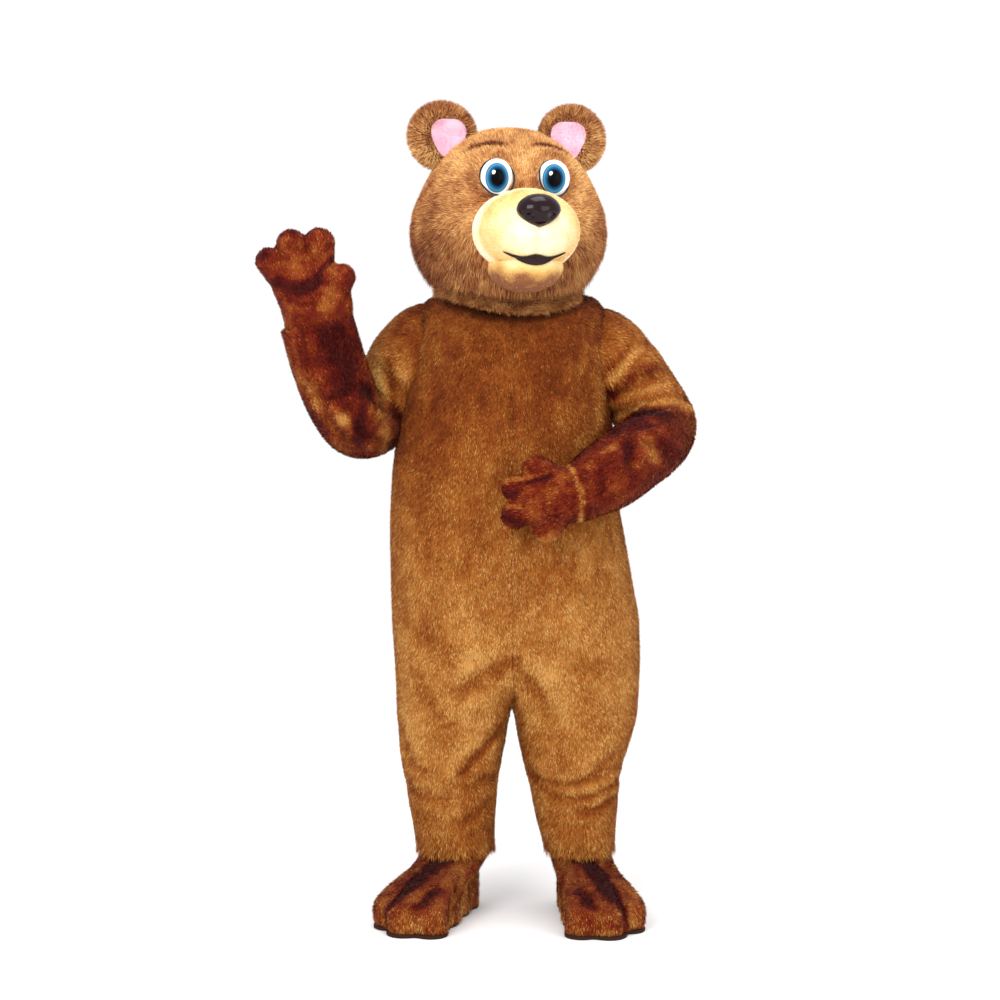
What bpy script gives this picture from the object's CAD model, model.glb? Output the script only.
"""Looks of a bear mascot costume as it is worn, with nobody inside.

Each cloth piece is a thin backing cloth on the form of its solid, with folds placed by hand, and a coat of
short blades that lie along the nap. Heights in the tables are measured from the floor; the row frame's
origin lies FLOOR_DROP above it, where the wearer's shoulders hold the suit. The front faces -Y.
"""

import math

import bmesh
import bpy
import numpy as np
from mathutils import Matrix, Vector


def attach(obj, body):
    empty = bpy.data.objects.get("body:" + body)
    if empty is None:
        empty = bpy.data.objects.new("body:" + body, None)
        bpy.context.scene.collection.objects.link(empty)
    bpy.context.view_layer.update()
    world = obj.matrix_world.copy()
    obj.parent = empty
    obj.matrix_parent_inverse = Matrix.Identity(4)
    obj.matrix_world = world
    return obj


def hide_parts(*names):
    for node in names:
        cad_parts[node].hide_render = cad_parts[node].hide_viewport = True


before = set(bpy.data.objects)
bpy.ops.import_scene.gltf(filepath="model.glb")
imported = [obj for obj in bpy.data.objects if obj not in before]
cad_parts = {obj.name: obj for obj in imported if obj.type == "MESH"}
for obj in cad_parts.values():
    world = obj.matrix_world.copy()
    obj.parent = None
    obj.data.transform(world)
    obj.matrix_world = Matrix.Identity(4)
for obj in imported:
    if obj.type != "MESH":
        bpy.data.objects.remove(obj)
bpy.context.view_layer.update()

FLOOR_DROP = 1.400
DROP = np.array([0.0, 0.0, FLOOR_DROP])
SIGNS = {"right": -1.0, "left": 1.0}  # towards which x each side lies
TURNS = {"front": -1.0, "back": 1.0}  # towards which y each face lies

CLOTH = 0.002  # the backing cloth
FOOT_CLOTH = 0.003
SHELL = 0.004  # the head's backing with its liner
MOULDING = 0.003
SUIT_PILE = 0.004  # how deep the backing lies under the coat's outer face
HEAD_PILE = 0.008
EAR_PILE = 0.007
RUFF_PILE = 0.007
FOOT_PILE = 0.005
FLEECE_PILE = 0.002
HEM_HEIGHT = 0.145
ZIP_BOTTOM = 0.800
ZIP_HALF = 0.003
CENTRE_GAP = 0.00015  # between the panels and the middle
ZIP_CLEAR = 0.006  # half the strip over the zip that has no blades
TEETH = 230
TEETH_MARGIN = 0.006
TOOTH_HALF = np.array([0.0011, 0.0007, 0.0010])
TOOTH_SHIFT = 0.0007  # by which the two rows stand apart
SUIT_ROUNDNESS = 2.3
HEAD_ROUNDNESS = 2.15

SUIT_SECTIONS = np.array((
    # side_z, front_drop, back_drop, right_out, left_out, right_inner, left_inner, front_y, back_y
    (1.470, 0.040, 0.038, 0.135, 0.135, -0.135, -0.135, -0.118, 0.116),
    (1.467, 0.053, 0.048, 0.166, 0.166, -0.166, -0.166, -0.140, 0.138),
    (1.456, 0.060, 0.051, 0.198, 0.198, -0.198, -0.198, -0.164, 0.154),
    (1.424, 0.052, 0.040, 0.220, 0.220, -0.220, -0.220, -0.179, 0.165),
    (1.365, 0.024, 0.018, 0.232, 0.228, -0.232, -0.228, -0.188, 0.172),
    (1.280, 0.000, 0.000, 0.242, 0.231, -0.242, -0.231, -0.192, 0.175),
    (1.150, 0.000, 0.000, 0.270, 0.239, -0.270, -0.239, -0.196, 0.170),
    (1.020, 0.000, 0.000, 0.285, 0.246, -0.285, -0.246, -0.200, 0.165),
    (0.900, 0.000, 0.000, 0.289, 0.266, -0.289, -0.266, -0.200, 0.170),
    (0.780, 0.000, 0.000, 0.288, 0.288, -0.288, -0.288, -0.192, 0.182),
    (0.680, 0.000, 0.000, 0.285, 0.304, -0.285, -0.304, -0.180, 0.188),
    (0.600, 0.000, 0.000, 0.280, 0.306, -0.130, -0.130, -0.165, 0.178),
    (0.540, 0.000, 0.000, 0.277, 0.304, -0.036, -0.036, -0.150, 0.160),
    (0.475, 0.000, 0.000, 0.275, 0.300, 0.002, 0.002, -0.138, 0.142),
    (0.410, 0.000, 0.000, 0.270, 0.284, 0.014, 0.014, -0.130, 0.130),
    (0.345, 0.000, 0.000, 0.262, 0.263, 0.026, 0.029, -0.124, 0.122),
    (0.300, 0.000, 0.000, 0.254, 0.257, 0.033, 0.041, -0.116, 0.114),
    (0.220, 0.000, 0.000, 0.240, 0.251, 0.039, 0.057, -0.106, 0.106),
    (0.145, 0.000, 0.000, 0.228, 0.246, 0.041, 0.078, -0.098, 0.100),
))
SUIT_COLUMN = {
    "front_drop": 1, "back_drop": 2, "right_out": 3, "left_out": 4,
    "right_inner": 5, "left_inner": 6, "front_y": 7, "back_y": 8,
}
SUIT_RINGS = (
    1.470, 1.467, 1.456, 1.436, 1.408, 1.365, 1.310, 1.230, 1.140, 1.040, 0.940, 0.840, 0.750,
    0.680, 0.630, 0.590, 0.555, 0.520, 0.490, 0.460, 0.415, 0.375, 0.342, 0.320, 0.300, 0.275,
    0.220, HEM_HEIGHT,
)

# Folds, each along a bent line on one face, in x and height. A negative depth is a ridge.
SUIT_FOLDS = (
    # face, start, middle, end, width, depth
    ("front", (-0.150, 0.322), (-0.105, 0.318), (-0.040, 0.324), 0.011, 0.007),
    ("front", (0.048, 0.330), (0.140, 0.286), (0.248, 0.322), 0.011, 0.007),
    ("front", (-0.250, 0.306), (-0.200, 0.288), (-0.120, 0.296), 0.014, 0.004),
    ("front", (0.150, 0.262), (0.195, 0.258), (0.246, 0.282), 0.013, 0.005),
    ("front", (-0.130, 0.545), (-0.060, 0.585), (-0.010, 0.618), 0.020, 0.011),
    ("front", (0.012, 0.612), (0.045, 0.560), (0.080, 0.495), 0.018, 0.009),
    ("front", (-0.120, 0.345), (-0.080, 0.390), (-0.030, 0.444), 0.014, 0.009),
    ("front", (0.150, 0.330), (0.195, 0.352), (0.240, 0.396), 0.013, 0.008),
    ("front", (-0.118, 0.352), (-0.075, 0.338), (-0.030, 0.338), 0.009, 0.007),
    ("front", (0.038, 0.352), (0.105, 0.322), (0.205, 0.340), 0.009, 0.008),
    ("front", (0.200, 0.338), (0.225, 0.345), (0.252, 0.368), 0.009, 0.006),
    ("front", (-0.262, 0.452), (-0.252, 0.418), (-0.236, 0.380), 0.010, 0.006),
    ("front", (-0.240, 0.370), (-0.205, 0.352), (-0.170, 0.350), 0.010, 0.005),
    ("front", (0.006, 0.790), (0.010, 0.650), (0.008, 0.500), 0.006, 0.005),
    ("front", (0.040, 0.560), (0.085, 0.470), (0.120, 0.360), 0.022, 0.004),
    ("front", (-0.225, 0.560), (-0.180, 0.500), (-0.150, 0.420), 0.026, 0.004),
    ("front", (-0.236, 0.694), (-0.195, 0.672), (-0.150, 0.634), 0.022, 0.004),
    ("front", (0.040, 0.664), (0.130, 0.626), (0.236, 0.600), 0.024, 0.005),
    ("front", (-0.135, 0.226), (-0.100, 0.238), (-0.060, 0.270), 0.011, 0.006),
    ("front", (-0.215, 0.250), (-0.180, 0.230), (-0.140, 0.232), 0.012, 0.005),
    ("front", (0.160, 0.254), (0.195, 0.262), (0.230, 0.286), 0.011, 0.006),
    ("front", (0.080, 0.232), (0.120, 0.214), (0.170, 0.220), 0.013, 0.005),
    ("front", (-0.060, 1.080), (-0.075, 1.000), (-0.060, 0.930), 0.040, 0.003),
    ("front", (0.120, 0.860), (0.180, 0.800), (0.235, 0.760), 0.035, 0.004),
    ("front", (-0.205, 1.060), (-0.215, 0.960), (-0.190, 0.870), 0.040, 0.004),
    ("front", (0.160, 1.330), (0.175, 1.250), (0.185, 1.180), 0.022, 0.004),
    ("front", (-0.190, 1.300), (-0.180, 1.230), (-0.190, 1.160), 0.022, 0.004),
    ("back", (-0.240, 0.310), (-0.150, 0.296), (-0.050, 0.302), 0.018, 0.010),
    ("back", (0.055, 0.304), (0.150, 0.296), (0.245, 0.312), 0.018, 0.010),
    ("back", (-0.160, 0.560), (-0.080, 0.575), (-0.015, 0.625), 0.022, 0.010),
    ("back", (0.020, 0.615), (0.080, 0.570), (0.170, 0.550), 0.022, 0.010),
    ("back", (-0.180, 0.880), (-0.080, 0.870), (0.020, 0.905), 0.030, 0.008),
    ("back", (0.010, 0.872), (0.090, 0.852), (0.190, 0.880), 0.026, 0.006),
    ("back", (-0.215, 0.350), (-0.150, 0.360), (-0.080, 0.340), 0.014, 0.006),
    ("back", (0.090, 0.345), (0.160, 0.362), (0.225, 0.352), 0.014, 0.006),
    ("back", (-0.200, 0.262), (-0.150, 0.245), (-0.085, 0.252), 0.012, 0.006),
    ("back", (0.100, 0.246), (0.160, 0.238), (0.215, 0.256), 0.012, 0.006),
    ("back", (-0.110, 1.350), (-0.140, 1.230), (-0.130, 1.120), 0.030, 0.005),
    ("back", (0.105, 1.340), (0.145, 1.220), (0.120, 1.130), 0.028, 0.005),
    ("back", (-0.010, 0.790), (-0.004, 0.720), (0.000, 0.640), 0.014, 0.006),
)
SLEEVE_FOLDS = (
    ("front", (0.214, 1.226), (0.275, 1.246), (0.350, 1.290), 0.014, 0.008),
    ("front", (0.212, 1.182), (0.300, 1.196), (0.405, 1.222), 0.013, 0.010),
    ("front", (0.215, 1.152), (0.300, 1.166), (0.380, 1.186), 0.011, 0.009),
    ("front", (0.240, 1.270), (0.280, 1.300), (0.310, 1.345), 0.016, 0.006),
    ("front", (0.300, 1.130), (0.345, 1.105), (0.375, 1.070), 0.013, 0.006),
    ("front", (0.270, 1.150), (0.262, 1.100), (0.275, 1.040), 0.014, 0.005),
    ("back", (0.240, 1.250), (0.300, 1.240), (0.360, 1.260), 0.016, 0.007),
    ("back", (0.300, 1.180), (0.350, 1.170), (0.410, 1.190), 0.014, 0.008),
    ("back", (0.250, 1.130), (0.290, 1.110), (0.330, 1.080), 0.014, 0.006),
    ("front", (-0.245, 1.230), (-0.275, 1.262), (-0.310, 1.300), 0.014, 0.007),
    ("front", (-0.250, 1.170), (-0.300, 1.210), (-0.330, 1.250), 0.013, 0.009),
    ("front", (-0.270, 1.120), (-0.330, 1.135), (-0.372, 1.190), 0.012, 0.008),
    ("front", (-0.345, 1.110), (-0.390, 1.140), (-0.425, 1.190), 0.013, 0.007),
    ("front", (-0.375, 1.235), (-0.420, 1.222), (-0.462, 1.240), 0.012, 0.006),
    ("front", (-0.390, 1.320), (-0.430, 1.300), (-0.490, 1.318), 0.013, 0.005),
    ("back", (-0.250, 1.200), (-0.300, 1.215), (-0.345, 1.260), 0.015, 0.008),
    ("back", (-0.300, 1.120), (-0.350, 1.120), (-0.420, 1.165), 0.014, 0.007),
    ("back", (-0.380, 1.250), (-0.425, 1.240), (-0.470, 1.262), 0.013, 0.006),
)

# Strokes of laid nap on the front: start, middle and end in x and height, width, how much lighter.
SUIT_STROKES = (
    ((0.006, 0.790), (0.010, 0.650), (0.008, 0.500), 0.003, -0.16),
    ((0.198, 1.340), (0.201, 1.260), (0.197, 1.160), 0.012, 0.24),
    ((0.165, 1.355), (0.166, 1.325), (0.158, 1.290), 0.008, 0.16),
    ((0.112, 1.205), (0.108, 1.180), (0.098, 1.140), 0.014, 0.12),
    ((-0.038, 1.165), (-0.044, 1.140), (-0.040, 1.110), 0.011, -0.12),
    ((-0.190, 1.400), (-0.212, 1.360), (-0.214, 1.300), 0.020, 0.10),
    ((0.000, 1.225), (0.002, 1.212), (0.000, 1.195), 0.012, -0.14),
    ((-0.020, 1.100), (-0.024, 1.070), (-0.022, 1.040), 0.012, -0.10),
    ((-0.262, 1.380), (-0.255, 1.350), (-0.240, 1.330), 0.026, -0.10),
    ((-0.120, 0.345), (-0.080, 0.390), (-0.030, 0.444), 0.008, -0.14),
    ((-0.110, 0.338), (-0.070, 0.378), (-0.026, 0.420), 0.007, 0.12),
    ((0.048, 0.330), (0.140, 0.286), (0.248, 0.322), 0.005, -0.16),
    ((0.150, 0.262), (0.195, 0.258), (0.246, 0.282), 0.006, -0.12),
    ((0.152, 0.280), (0.195, 0.276), (0.240, 0.300), 0.005, 0.12),
)
SLEEVE_STROKES = (
    # the raised arm
    ((-0.404, 1.375), (-0.393, 1.320), (-0.380, 1.255), 0.036, -0.34),
    ((-0.335, 1.244), (-0.343, 1.186), (-0.355, 1.128), 0.011, -0.34),
    ((-0.405, 1.205), (-0.395, 1.190), (-0.380, 1.185), 0.010, 0.22),
    ((-0.386, 1.170), (-0.380, 1.162), (-0.374, 1.150), 0.013, 0.24),
    ((-0.493, 1.345), (-0.492, 1.300), (-0.468, 1.240), 0.014, 0.16),
    ((-0.452, 1.240), (-0.440, 1.205), (-0.415, 1.165), 0.012, 0.18),
    ((-0.456, 1.190), (-0.440, 1.160), (-0.425, 1.145), 0.007, -0.20),
    ((-0.418, 1.160), (-0.385, 1.124), (-0.300, 1.106), 0.018, 0.20),
    ((-0.325, 1.215), (-0.308, 1.165), (-0.305, 1.120), 0.013, 0.18),
    ((-0.316, 1.300), (-0.300, 1.225), (-0.290, 1.140), 0.015, 0.28),
    ((-0.285, 1.310), (-0.278, 1.240), (-0.270, 1.180), 0.008, -0.22),
    ((-0.262, 1.380), (-0.262, 1.350), (-0.266, 1.320), 0.022, -0.06),
    ((-0.300, 1.330), (-0.290, 1.360), (-0.280, 1.390), 0.012, 0.06),
    # the arm that rests on the belly
    ((0.228, 1.262), (0.262, 1.305), (0.300, 1.340), 0.011, 0.30),
    ((0.232, 1.236), (0.272, 1.268), (0.327, 1.296), 0.013, -0.34),
    ((0.215, 1.282), (0.250, 1.315), (0.272, 1.350), 0.009, -0.24),
    ((0.266, 1.228), (0.310, 1.244), (0.368, 1.256), 0.006, 0.24),
    ((0.236, 1.196), (0.300, 1.222), (0.380, 1.232), 0.009, -0.22),
    ((0.238, 1.166), (0.317, 1.213), (0.418, 1.202), 0.010, 0.32),
    ((0.232, 1.146), (0.300, 1.184), (0.412, 1.180), 0.009, -0.30),
    ((0.258, 1.126), (0.262, 1.110), (0.262, 1.094), 0.014, -0.34),
    ((0.283, 1.170), (0.327, 1.143), (0.390, 1.090), 0.009, -0.24),
    ((0.306, 1.124), (0.312, 1.110), (0.318, 1.096), 0.018, 0.20),
    ((0.200, 1.060), (0.196, 1.020), (0.200, 0.985), 0.010, -0.14),
    ((0.200, 1.105), (0.228, 1.118), (0.252, 1.130), 0.006, 0.16),
    ((0.111, 1.096), (0.148, 1.035), (0.154, 0.955), 0.0055, 0.46),
)
MITT_STROKES = (
    # the raised palm
    ((-0.585, 1.555), (-0.570, 1.560), (-0.548, 1.568), 0.022, -0.34),
    ((-0.520, 1.598), (-0.508, 1.606), (-0.492, 1.603), 0.013, -0.26),
    ((-0.466, 1.600), (-0.464, 1.585), (-0.462, 1.560), 0.009, -0.26),
    ((-0.530, 1.486), (-0.484, 1.472), (-0.440, 1.490), 0.013, -0.46),
    ((-0.438, 1.482), (-0.430, 1.512), (-0.409, 1.538), 0.006, -0.34),
    ((-0.520, 1.558), (-0.504, 1.540), (-0.490, 1.520), 0.016, 0.08),
    ((-0.405, 1.512), (-0.398, 1.485), (-0.410, 1.455), 0.018, 0.14),
    ((-0.455, 1.575), (-0.440, 1.560), (-0.430, 1.545), 0.014, 0.08),
    ((-0.510, 1.436), (-0.460, 1.424), (-0.400, 1.440), 0.010, 0.12),
    ((-0.505, 1.445), (-0.480, 1.435), (-0.455, 1.438), 0.004, -0.20),
    # the mitt on the belly
    ((-0.020, 1.028), (0.040, 1.040), (0.090, 1.056), 0.004, -0.32),
    ((-0.016, 1.040), (0.040, 1.050), (0.080, 1.064), 0.004, 0.20),
    ((-0.024, 1.000), (-0.014, 1.010), (0.010, 1.014), 0.010, -0.26),
    ((-0.012, 0.984), (0.008, 0.984), (0.030, 0.983), 0.004, 0.26),
    ((-0.020, 0.962), (-0.006, 0.956), (0.012, 0.950), 0.013, -0.32),
    ((0.055, 0.908), (0.078, 0.904), (0.100, 0.912), 0.014, 0.34),
    ((0.020, 0.930), (0.045, 0.922), (0.062, 0.918), 0.006, -0.28),
    ((0.128, 0.985), (0.132, 0.965), (0.126, 0.950), 0.010, -0.16),
    ((0.111, 1.096), (0.148, 1.035), (0.154, 0.955), 0.0055, 0.46),
)
# Strokes on the foot covers: points in x towards the inner side and y, width, how much lighter.
FOOT_STROKES = (
    ((0.016, -0.055), (-0.002, -0.120), (-0.012, -0.205), 0.022, -0.66),
    ((-0.012, -0.205), (-0.020, -0.240), (-0.028, -0.270), 0.015, -0.56),
    ((0.052, -0.205), (0.048, -0.230), (0.044, -0.262), 0.014, -0.42),
    ((0.055, -0.070), (0.060, -0.130), (0.066, -0.190), 0.013, 0.12),
    ((-0.060, -0.110), (-0.070, -0.160), (-0.070, -0.220), 0.012, 0.08),
)

RIGHT_SLEEVE = np.array((
    # x, y, z, radius
    (-0.130, 0.000, 1.330, 0.098),
    (-0.190, 0.000, 1.346, 0.104),
    (-0.236, 0.010, 1.306, 0.105),
    (-0.280, 0.018, 1.238, 0.094),
    (-0.320, -0.006, 1.180, 0.087),
    (-0.358, -0.072, 1.166, 0.084),
    (-0.388, -0.128, 1.212, 0.085),
    (-0.418, -0.155, 1.295, 0.087),
    (-0.444, -0.165, 1.387, 0.087),
))
LEFT_SLEEVE = np.array((
    (0.130, 0.000, 1.325, 0.098),
    (0.195, 0.000, 1.332, 0.107),
    (0.255, -0.003, 1.285, 0.101),
    (0.308, -0.018, 1.220, 0.093),
    (0.344, -0.058, 1.160, 0.088),
    (0.330, -0.112, 1.127, 0.084),
    (0.280, -0.173, 1.092, 0.084),
    (0.212, -0.231, 1.048, 0.083),
    (0.144, -0.268, 1.015, 0.083),
))
SLEEVES = {"right": RIGHT_SLEEVE, "left": LEFT_SLEEVE}
SLEEVE_STEPS = 240
UPPER_STEPS = 110  # of them in the upper arm
SLEEVE_TAPER = {"right": 0.00, "left": 0.15}
# Where the forearm's colour starts and is full, as shares of the sleeve, and the tone it has.
FOREARMS = {"right": (0.36, 0.56, 0.41), "left": (0.46, 0.60, 0.43)}
WRIST_WIDE = 0.070
WRIST_THICK = 0.056
CUFF_WIDE = {"right": 0.082, "left": 0.072}
MITT_TUCK = 0.030
MITT_VOXEL = 0.0052
WRIST_LENGTH = 0.10  # over which a sleeve is flattened towards its end
WRIST_FLAT = 0.012
HAND_ALONG = {"right": (-0.205, -0.110, 0.973), "left": (-0.983, -0.060, -0.170)}
HAND_ACROSS = {"right": (1.0, 0.0, 0.0), "left": (0.0, 0.0, 1.0)}

# Digits of the mitts: an angle from the hand's own direction, a distance and a radius.
DIGITS = {
    "right": ((-24.0, 0.184, 0.035), (-5.0, 0.196, 0.038), (14.0, 0.190, 0.039), (39.0, 0.128, 0.034)),
    "left": ((-42.0, 0.106, 0.035), (-11.0, 0.148, 0.035), (13.0, 0.136, 0.035), (40.0, 0.104, 0.035)),
}
PALMS = {"right": (4.0, 0.098, 0.078), "left": (0.0, 0.085, 0.066)}
MITT_TONES = {
    # distances from the wrist, tones
    "right": ((-0.02, 0.03, 0.09, 0.15, 0.24), (0.44, 0.50, 0.46, 0.50, 0.42)),
    "left": ((-0.02, 0.02, 0.10, 0.20), (0.42, 0.46, 0.47, 0.44)),
}

FOOT_RINGS = np.array((
    # height, spread
    (0.0083, 0.955), (0.024, 0.992), (0.042, 1.000), (0.062, 0.955), (0.084, 0.740), (0.108, 0.390),
    (0.128, 0.110), (0.142, 0.000), (0.190, 0.000),
))
FOOT_LOBES = (
    # x towards the inner side, y, radius
    (0.000, 0.006, 0.058), (0.000, -0.066, 0.067), (0.000, -0.160, 0.085),
    (-0.058, -0.226, 0.045), (0.000, -0.266, 0.048), (0.060, -0.250, 0.046),
)
FOOT_MIDDLE_Y = -0.120
FOOT_COLUMNS = 116
SHAFT_GAP = 0.0074  # between a foot cover's shaft and the leg's hem
CLEFTS = ((-0.032, -0.262), (0.032, -0.272))
SOLE_RINGS = (
    # height, how far the ring is drawn in; the first and last are the caps' small rings
    (0.0000, 0.008), (0.0000, 0.008), (0.0012, 0.0062), (0.0068, 0.0062), (0.0080, 0.008), (0.0080, 0.008),
)
FOOT_PLACES = {"right": (-0.1345, 0.001, math.radians(-25.0)), "left": (0.162, 0.001, math.radians(12.5))}

HEAD_PLACE = np.array([-0.009, -0.020, -FLOOR_DROP])
HEAD_TURN = math.radians(12.5)
HEAD_SECTIONS = np.array((
    # side_z, front_drop, back_drop, half_width, front_y, back_y
    (1.484, 0.032, 0.020, 0.164, -0.148, 0.140),
    (1.498, 0.024, 0.014, 0.182, -0.170, 0.165),
    (1.520, 0.010, 0.006, 0.201, -0.190, 0.186),
    (1.560, 0.000, 0.000, 0.223, -0.208, 0.206),
    (1.606, 0.000, 0.000, 0.231, -0.214, 0.216),
    (1.650, 0.000, 0.000, 0.226, -0.210, 0.216),
    (1.700, 0.000, 0.000, 0.208, -0.196, 0.206),
    (1.750, 0.000, 0.000, 0.183, -0.172, 0.184),
    (1.795, 0.000, 0.000, 0.146, -0.138, 0.150),
    (1.830, 0.000, 0.000, 0.101, -0.095, 0.108),
    (1.850, 0.000, 0.000, 0.056, -0.052, 0.062),
    (1.857, 0.000, 0.000, 0.000, 0.000, 0.000),
))
RUFF_SECTIONS = np.array((
    # side_fall, front_fall, back_fall, side_spread, front_spread, back_spread
    (0.0005, 0.0005, 0.0005, 0.000, 0.000, 0.000),
    (0.0060, 0.0120, 0.0090, 0.002, 0.010, 0.011),
    (0.0150, 0.0300, 0.0240, 0.003, 0.018, 0.020),
))
EAR_X = 0.155
EAR_Y = 0.010
EAR_Z = 1.831
EAR_RADII = (0.085, 0.034, 0.084)
DISH_RADII = (0.047, 0.052)
DISH_DEPTH = 0.018
LINING_RADII = (0.040, 0.045)
EYE_X = 0.066
EYE_Z = 1.722
EYE_RADII = (0.037, 0.026, 0.042)
GLINT_RADII = (0.0048, 0.0016, 0.0052)
SEAT_CORD = 0.0022  # radius of the cord round an eye
BROW_X = 0.070
BROW_Z = 1.802
MUZZLE = ((0.000, -0.165, 1.602), (0.126, 0.150, 0.099))
JAW = ((0.000, -0.160, 1.520), (0.090, 0.118, 0.058))
NOSE = ((0.000, -0.304, 1.640), (0.050, 0.038, 0.037))
NOSTRIL_X = 0.024
NOSTRIL_DROP = 0.014  # under the nose's middle
MOUTH_Z = 1.530
MOUTH_HALF = 0.072
MOUTH_BEND = 0.020  # how far its corners rise

# Coat colours from the shaded roots to the lit tips, as eight-bit display values.
GOLDEN = ((88, 32, 4), (116, 50, 8), (138, 71, 17), (162, 99, 38), (186, 131, 62), (212, 166, 96))
AMBER = ((72, 16, 4), (98, 32, 8), (120, 50, 14), (142, 72, 24), (164, 98, 40), (186, 126, 60))
REDDISH = ((56, 6, 4), (82, 12, 6), (112, 32, 9), (134, 54, 15), (158, 88, 34), (190, 132, 68))
HEAD_BROWN = ((92, 42, 26), (130, 70, 42), (164, 102, 58), (194, 136, 80), (220, 168, 102), (240, 198, 134))
CREAM = ((138, 84, 52), (204, 152, 84), (230, 192, 122), (240, 213, 160), (246, 229, 192), (250, 239, 216))
PINK = ((226, 150, 176), (240, 188, 206), (246, 208, 222))

PILES = {
    # how many blades, their length and width, their lean in radians, and the seed of the first piece
    "suit": (77000, 0.0095, 0.0019, 1.02, 10),
    "sleeve": (46000, 0.0095, 0.0019, 1.02, 31),
    "mitt": (15000, 0.0080, 0.0018, 1.05, 41),
    "foot": (24000, 0.0095, 0.0020, 1.05, 51),
    "head": (62000, 0.0165, 0.0019, 0.98, 81),
    "ruff": (24000, 0.0240, 0.0022, 0.85, 83),
    "ear": (11000, 0.0125, 0.0019, 0.90, 84),
    "lining": (1500, 0.0055, 0.0014, 0.90, 86),
    "muzzle": (22000, 0.0042, 0.0012, 0.95, 88),
    "chin": (7000, 0.0042, 0.0012, 0.95, 89),
}
NAP_SWIRL = 0.35  # how far swirls turn the blades
SWIRL_SIZE = 0.05
NAP_SCATTER = 0.22
LEAN_SCATTER = 0.16
SIDE_SCATTER = 0.35
TONE_SCATTER = 0.16
TUFT_TONE = 0.10  # how much the tone varies from tuft to tuft
TUFT_SIZE = 0.006
ROOT_DEPTH = 0.0006
EYE_STOPS = (
    # distance from the pupil's middle, colour
    (0.00, (2, 2, 3)), (0.42, (3, 3, 6)), (0.46, (8, 34, 60)), (0.58, (22, 76, 116)),
    (0.72, (64, 134, 172)), (0.77, (16, 52, 84)), (0.81, (228, 238, 246)), (1.00, (250, 252, 253)),
)
LAMPS = (
    # name, place, aim, power, size
    ("key", (-2.2, -4.4, 1.9), (0, 0, -0.2), 150, 2.4),
    ("fill", (2.8, -3.8, 0.8), (0, 0, -0.3), 60, 2.6),
    ("top", (0.3, -0.6, 3.2), (0, 0, 0), 60, 2.0),
)
LENS = 76.0
SENSOR = 36.0
CAMERA_PLACE = (-0.0284, -5.0, -0.10)
CAMERA_PITCH = math.radians(90 - 3.66)


def linear(colour):
    """Eight-bit display values as scene-linear ones."""
    c = np.asarray(colour, float) / 255
    return tuple(np.where(c <= 0.04045, c / 12.92, ((c + 0.055) / 1.055) ** 2.4))


def bell(value, width, power=2):
    """One at nought, fading to nothing past a width."""
    return np.exp(-((value / width) ** power))


def fade(value, none, full):
    """Nought at one value, one at another, even between them."""
    return np.clip((value - none) / (full - none), 0, 1)


def hermite(values, tangent, step, i, t):
    """The cubic between two neighbouring knots, from the values and tangents there."""
    start = (1 + 2 * t) * (1 - t) ** 2 * values[i] + t * (1 - t) ** 2 * step * tangent[i]
    end = t * t * (3 - 2 * t) * values[i + 1] + t * t * (t - 1) * step * tangent[i + 1]
    return start + end


def smooth_between(knots, values, at):
    """A monotone cubic through a column of a table, with no overshoot."""
    order = np.argsort(knots)
    x = np.asarray(knots, float)[order]
    y = np.asarray(values, float)[order]
    step = np.diff(x)
    slope = np.diff(y) / step
    tangent = np.zeros_like(y)
    level = slope[:-1] * slope[1:] > 0
    total = np.where(level, slope[:-1] + slope[1:], 1.0)
    tangent[1:-1] = np.where(level, 2 * slope[:-1] * slope[1:] / total, 0.0)
    tangent[0] = slope[0]
    tangent[-1] = slope[-1]
    at = np.asarray(at, float)
    i = np.clip(np.searchsorted(x, at) - 1, 0, len(step) - 1)
    return hermite(y, tangent, step[i], i, (at - x[i]) / step[i])


def smooth_path(knots, values, at):
    """A smooth curve through points at uneven knots."""
    i = np.clip(np.searchsorted(knots, at) - 1, 0, len(knots) - 2)
    step = knots[i + 1] - knots[i]
    return hermite(values, np.gradient(values, knots), step, i, (at - knots[i]) / step)


def signed_power(value, power):
    """A power that keeps the sign."""
    return np.sign(value) * np.abs(value) ** power


def unit(vectors):
    """Vectors of length one."""
    return vectors / np.maximum(np.linalg.norm(vectors, axis=-1, keepdims=True), 1e-12)


def turned(vectors, angle):
    """Vectors turned round the vertical."""
    c, s = math.cos(angle), math.sin(angle)
    x, y, z = np.moveaxis(vectors, -1, 0)
    return np.stack([c * x - s * y, s * x + c * y, z], axis=-1)


def relaxed(ring, times):
    """A closed ring of values, each drawn towards its neighbours."""
    for _ in range(times):
        ring = (np.roll(ring, 1, axis=0) + 2 * ring + np.roll(ring, -1, axis=0)) / 4
    return ring


def round_steps(count):
    """Even angles round a full turn."""
    return np.linspace(0, 2 * math.pi, count, endpoint=False)


def cloud(points, size, seed):
    """Smooth noise from -1 to 1 with blotches of about one size."""
    cells = 24
    table = np.random.default_rng(seed).uniform(-1, 1, (cells, cells, cells))
    q = np.asarray(points) / size + 100.0
    cell = np.floor(q).astype(int)
    t = q - cell
    t = t * t * (3 - 2 * t)
    total = np.zeros(len(q))
    for corner in range(8):
        bits = np.array([corner >> k & 1 for k in range(3)])
        weight = np.prod(np.where(bits, t, 1 - t), axis=1)
        at = (cell + bits) % cells
        total += weight * table[at[:, 0], at[:, 1], at[:, 2]]
    return total


# Skins: points and faces of an open sheet, with normals, a nap direction and a tone at each point.


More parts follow.
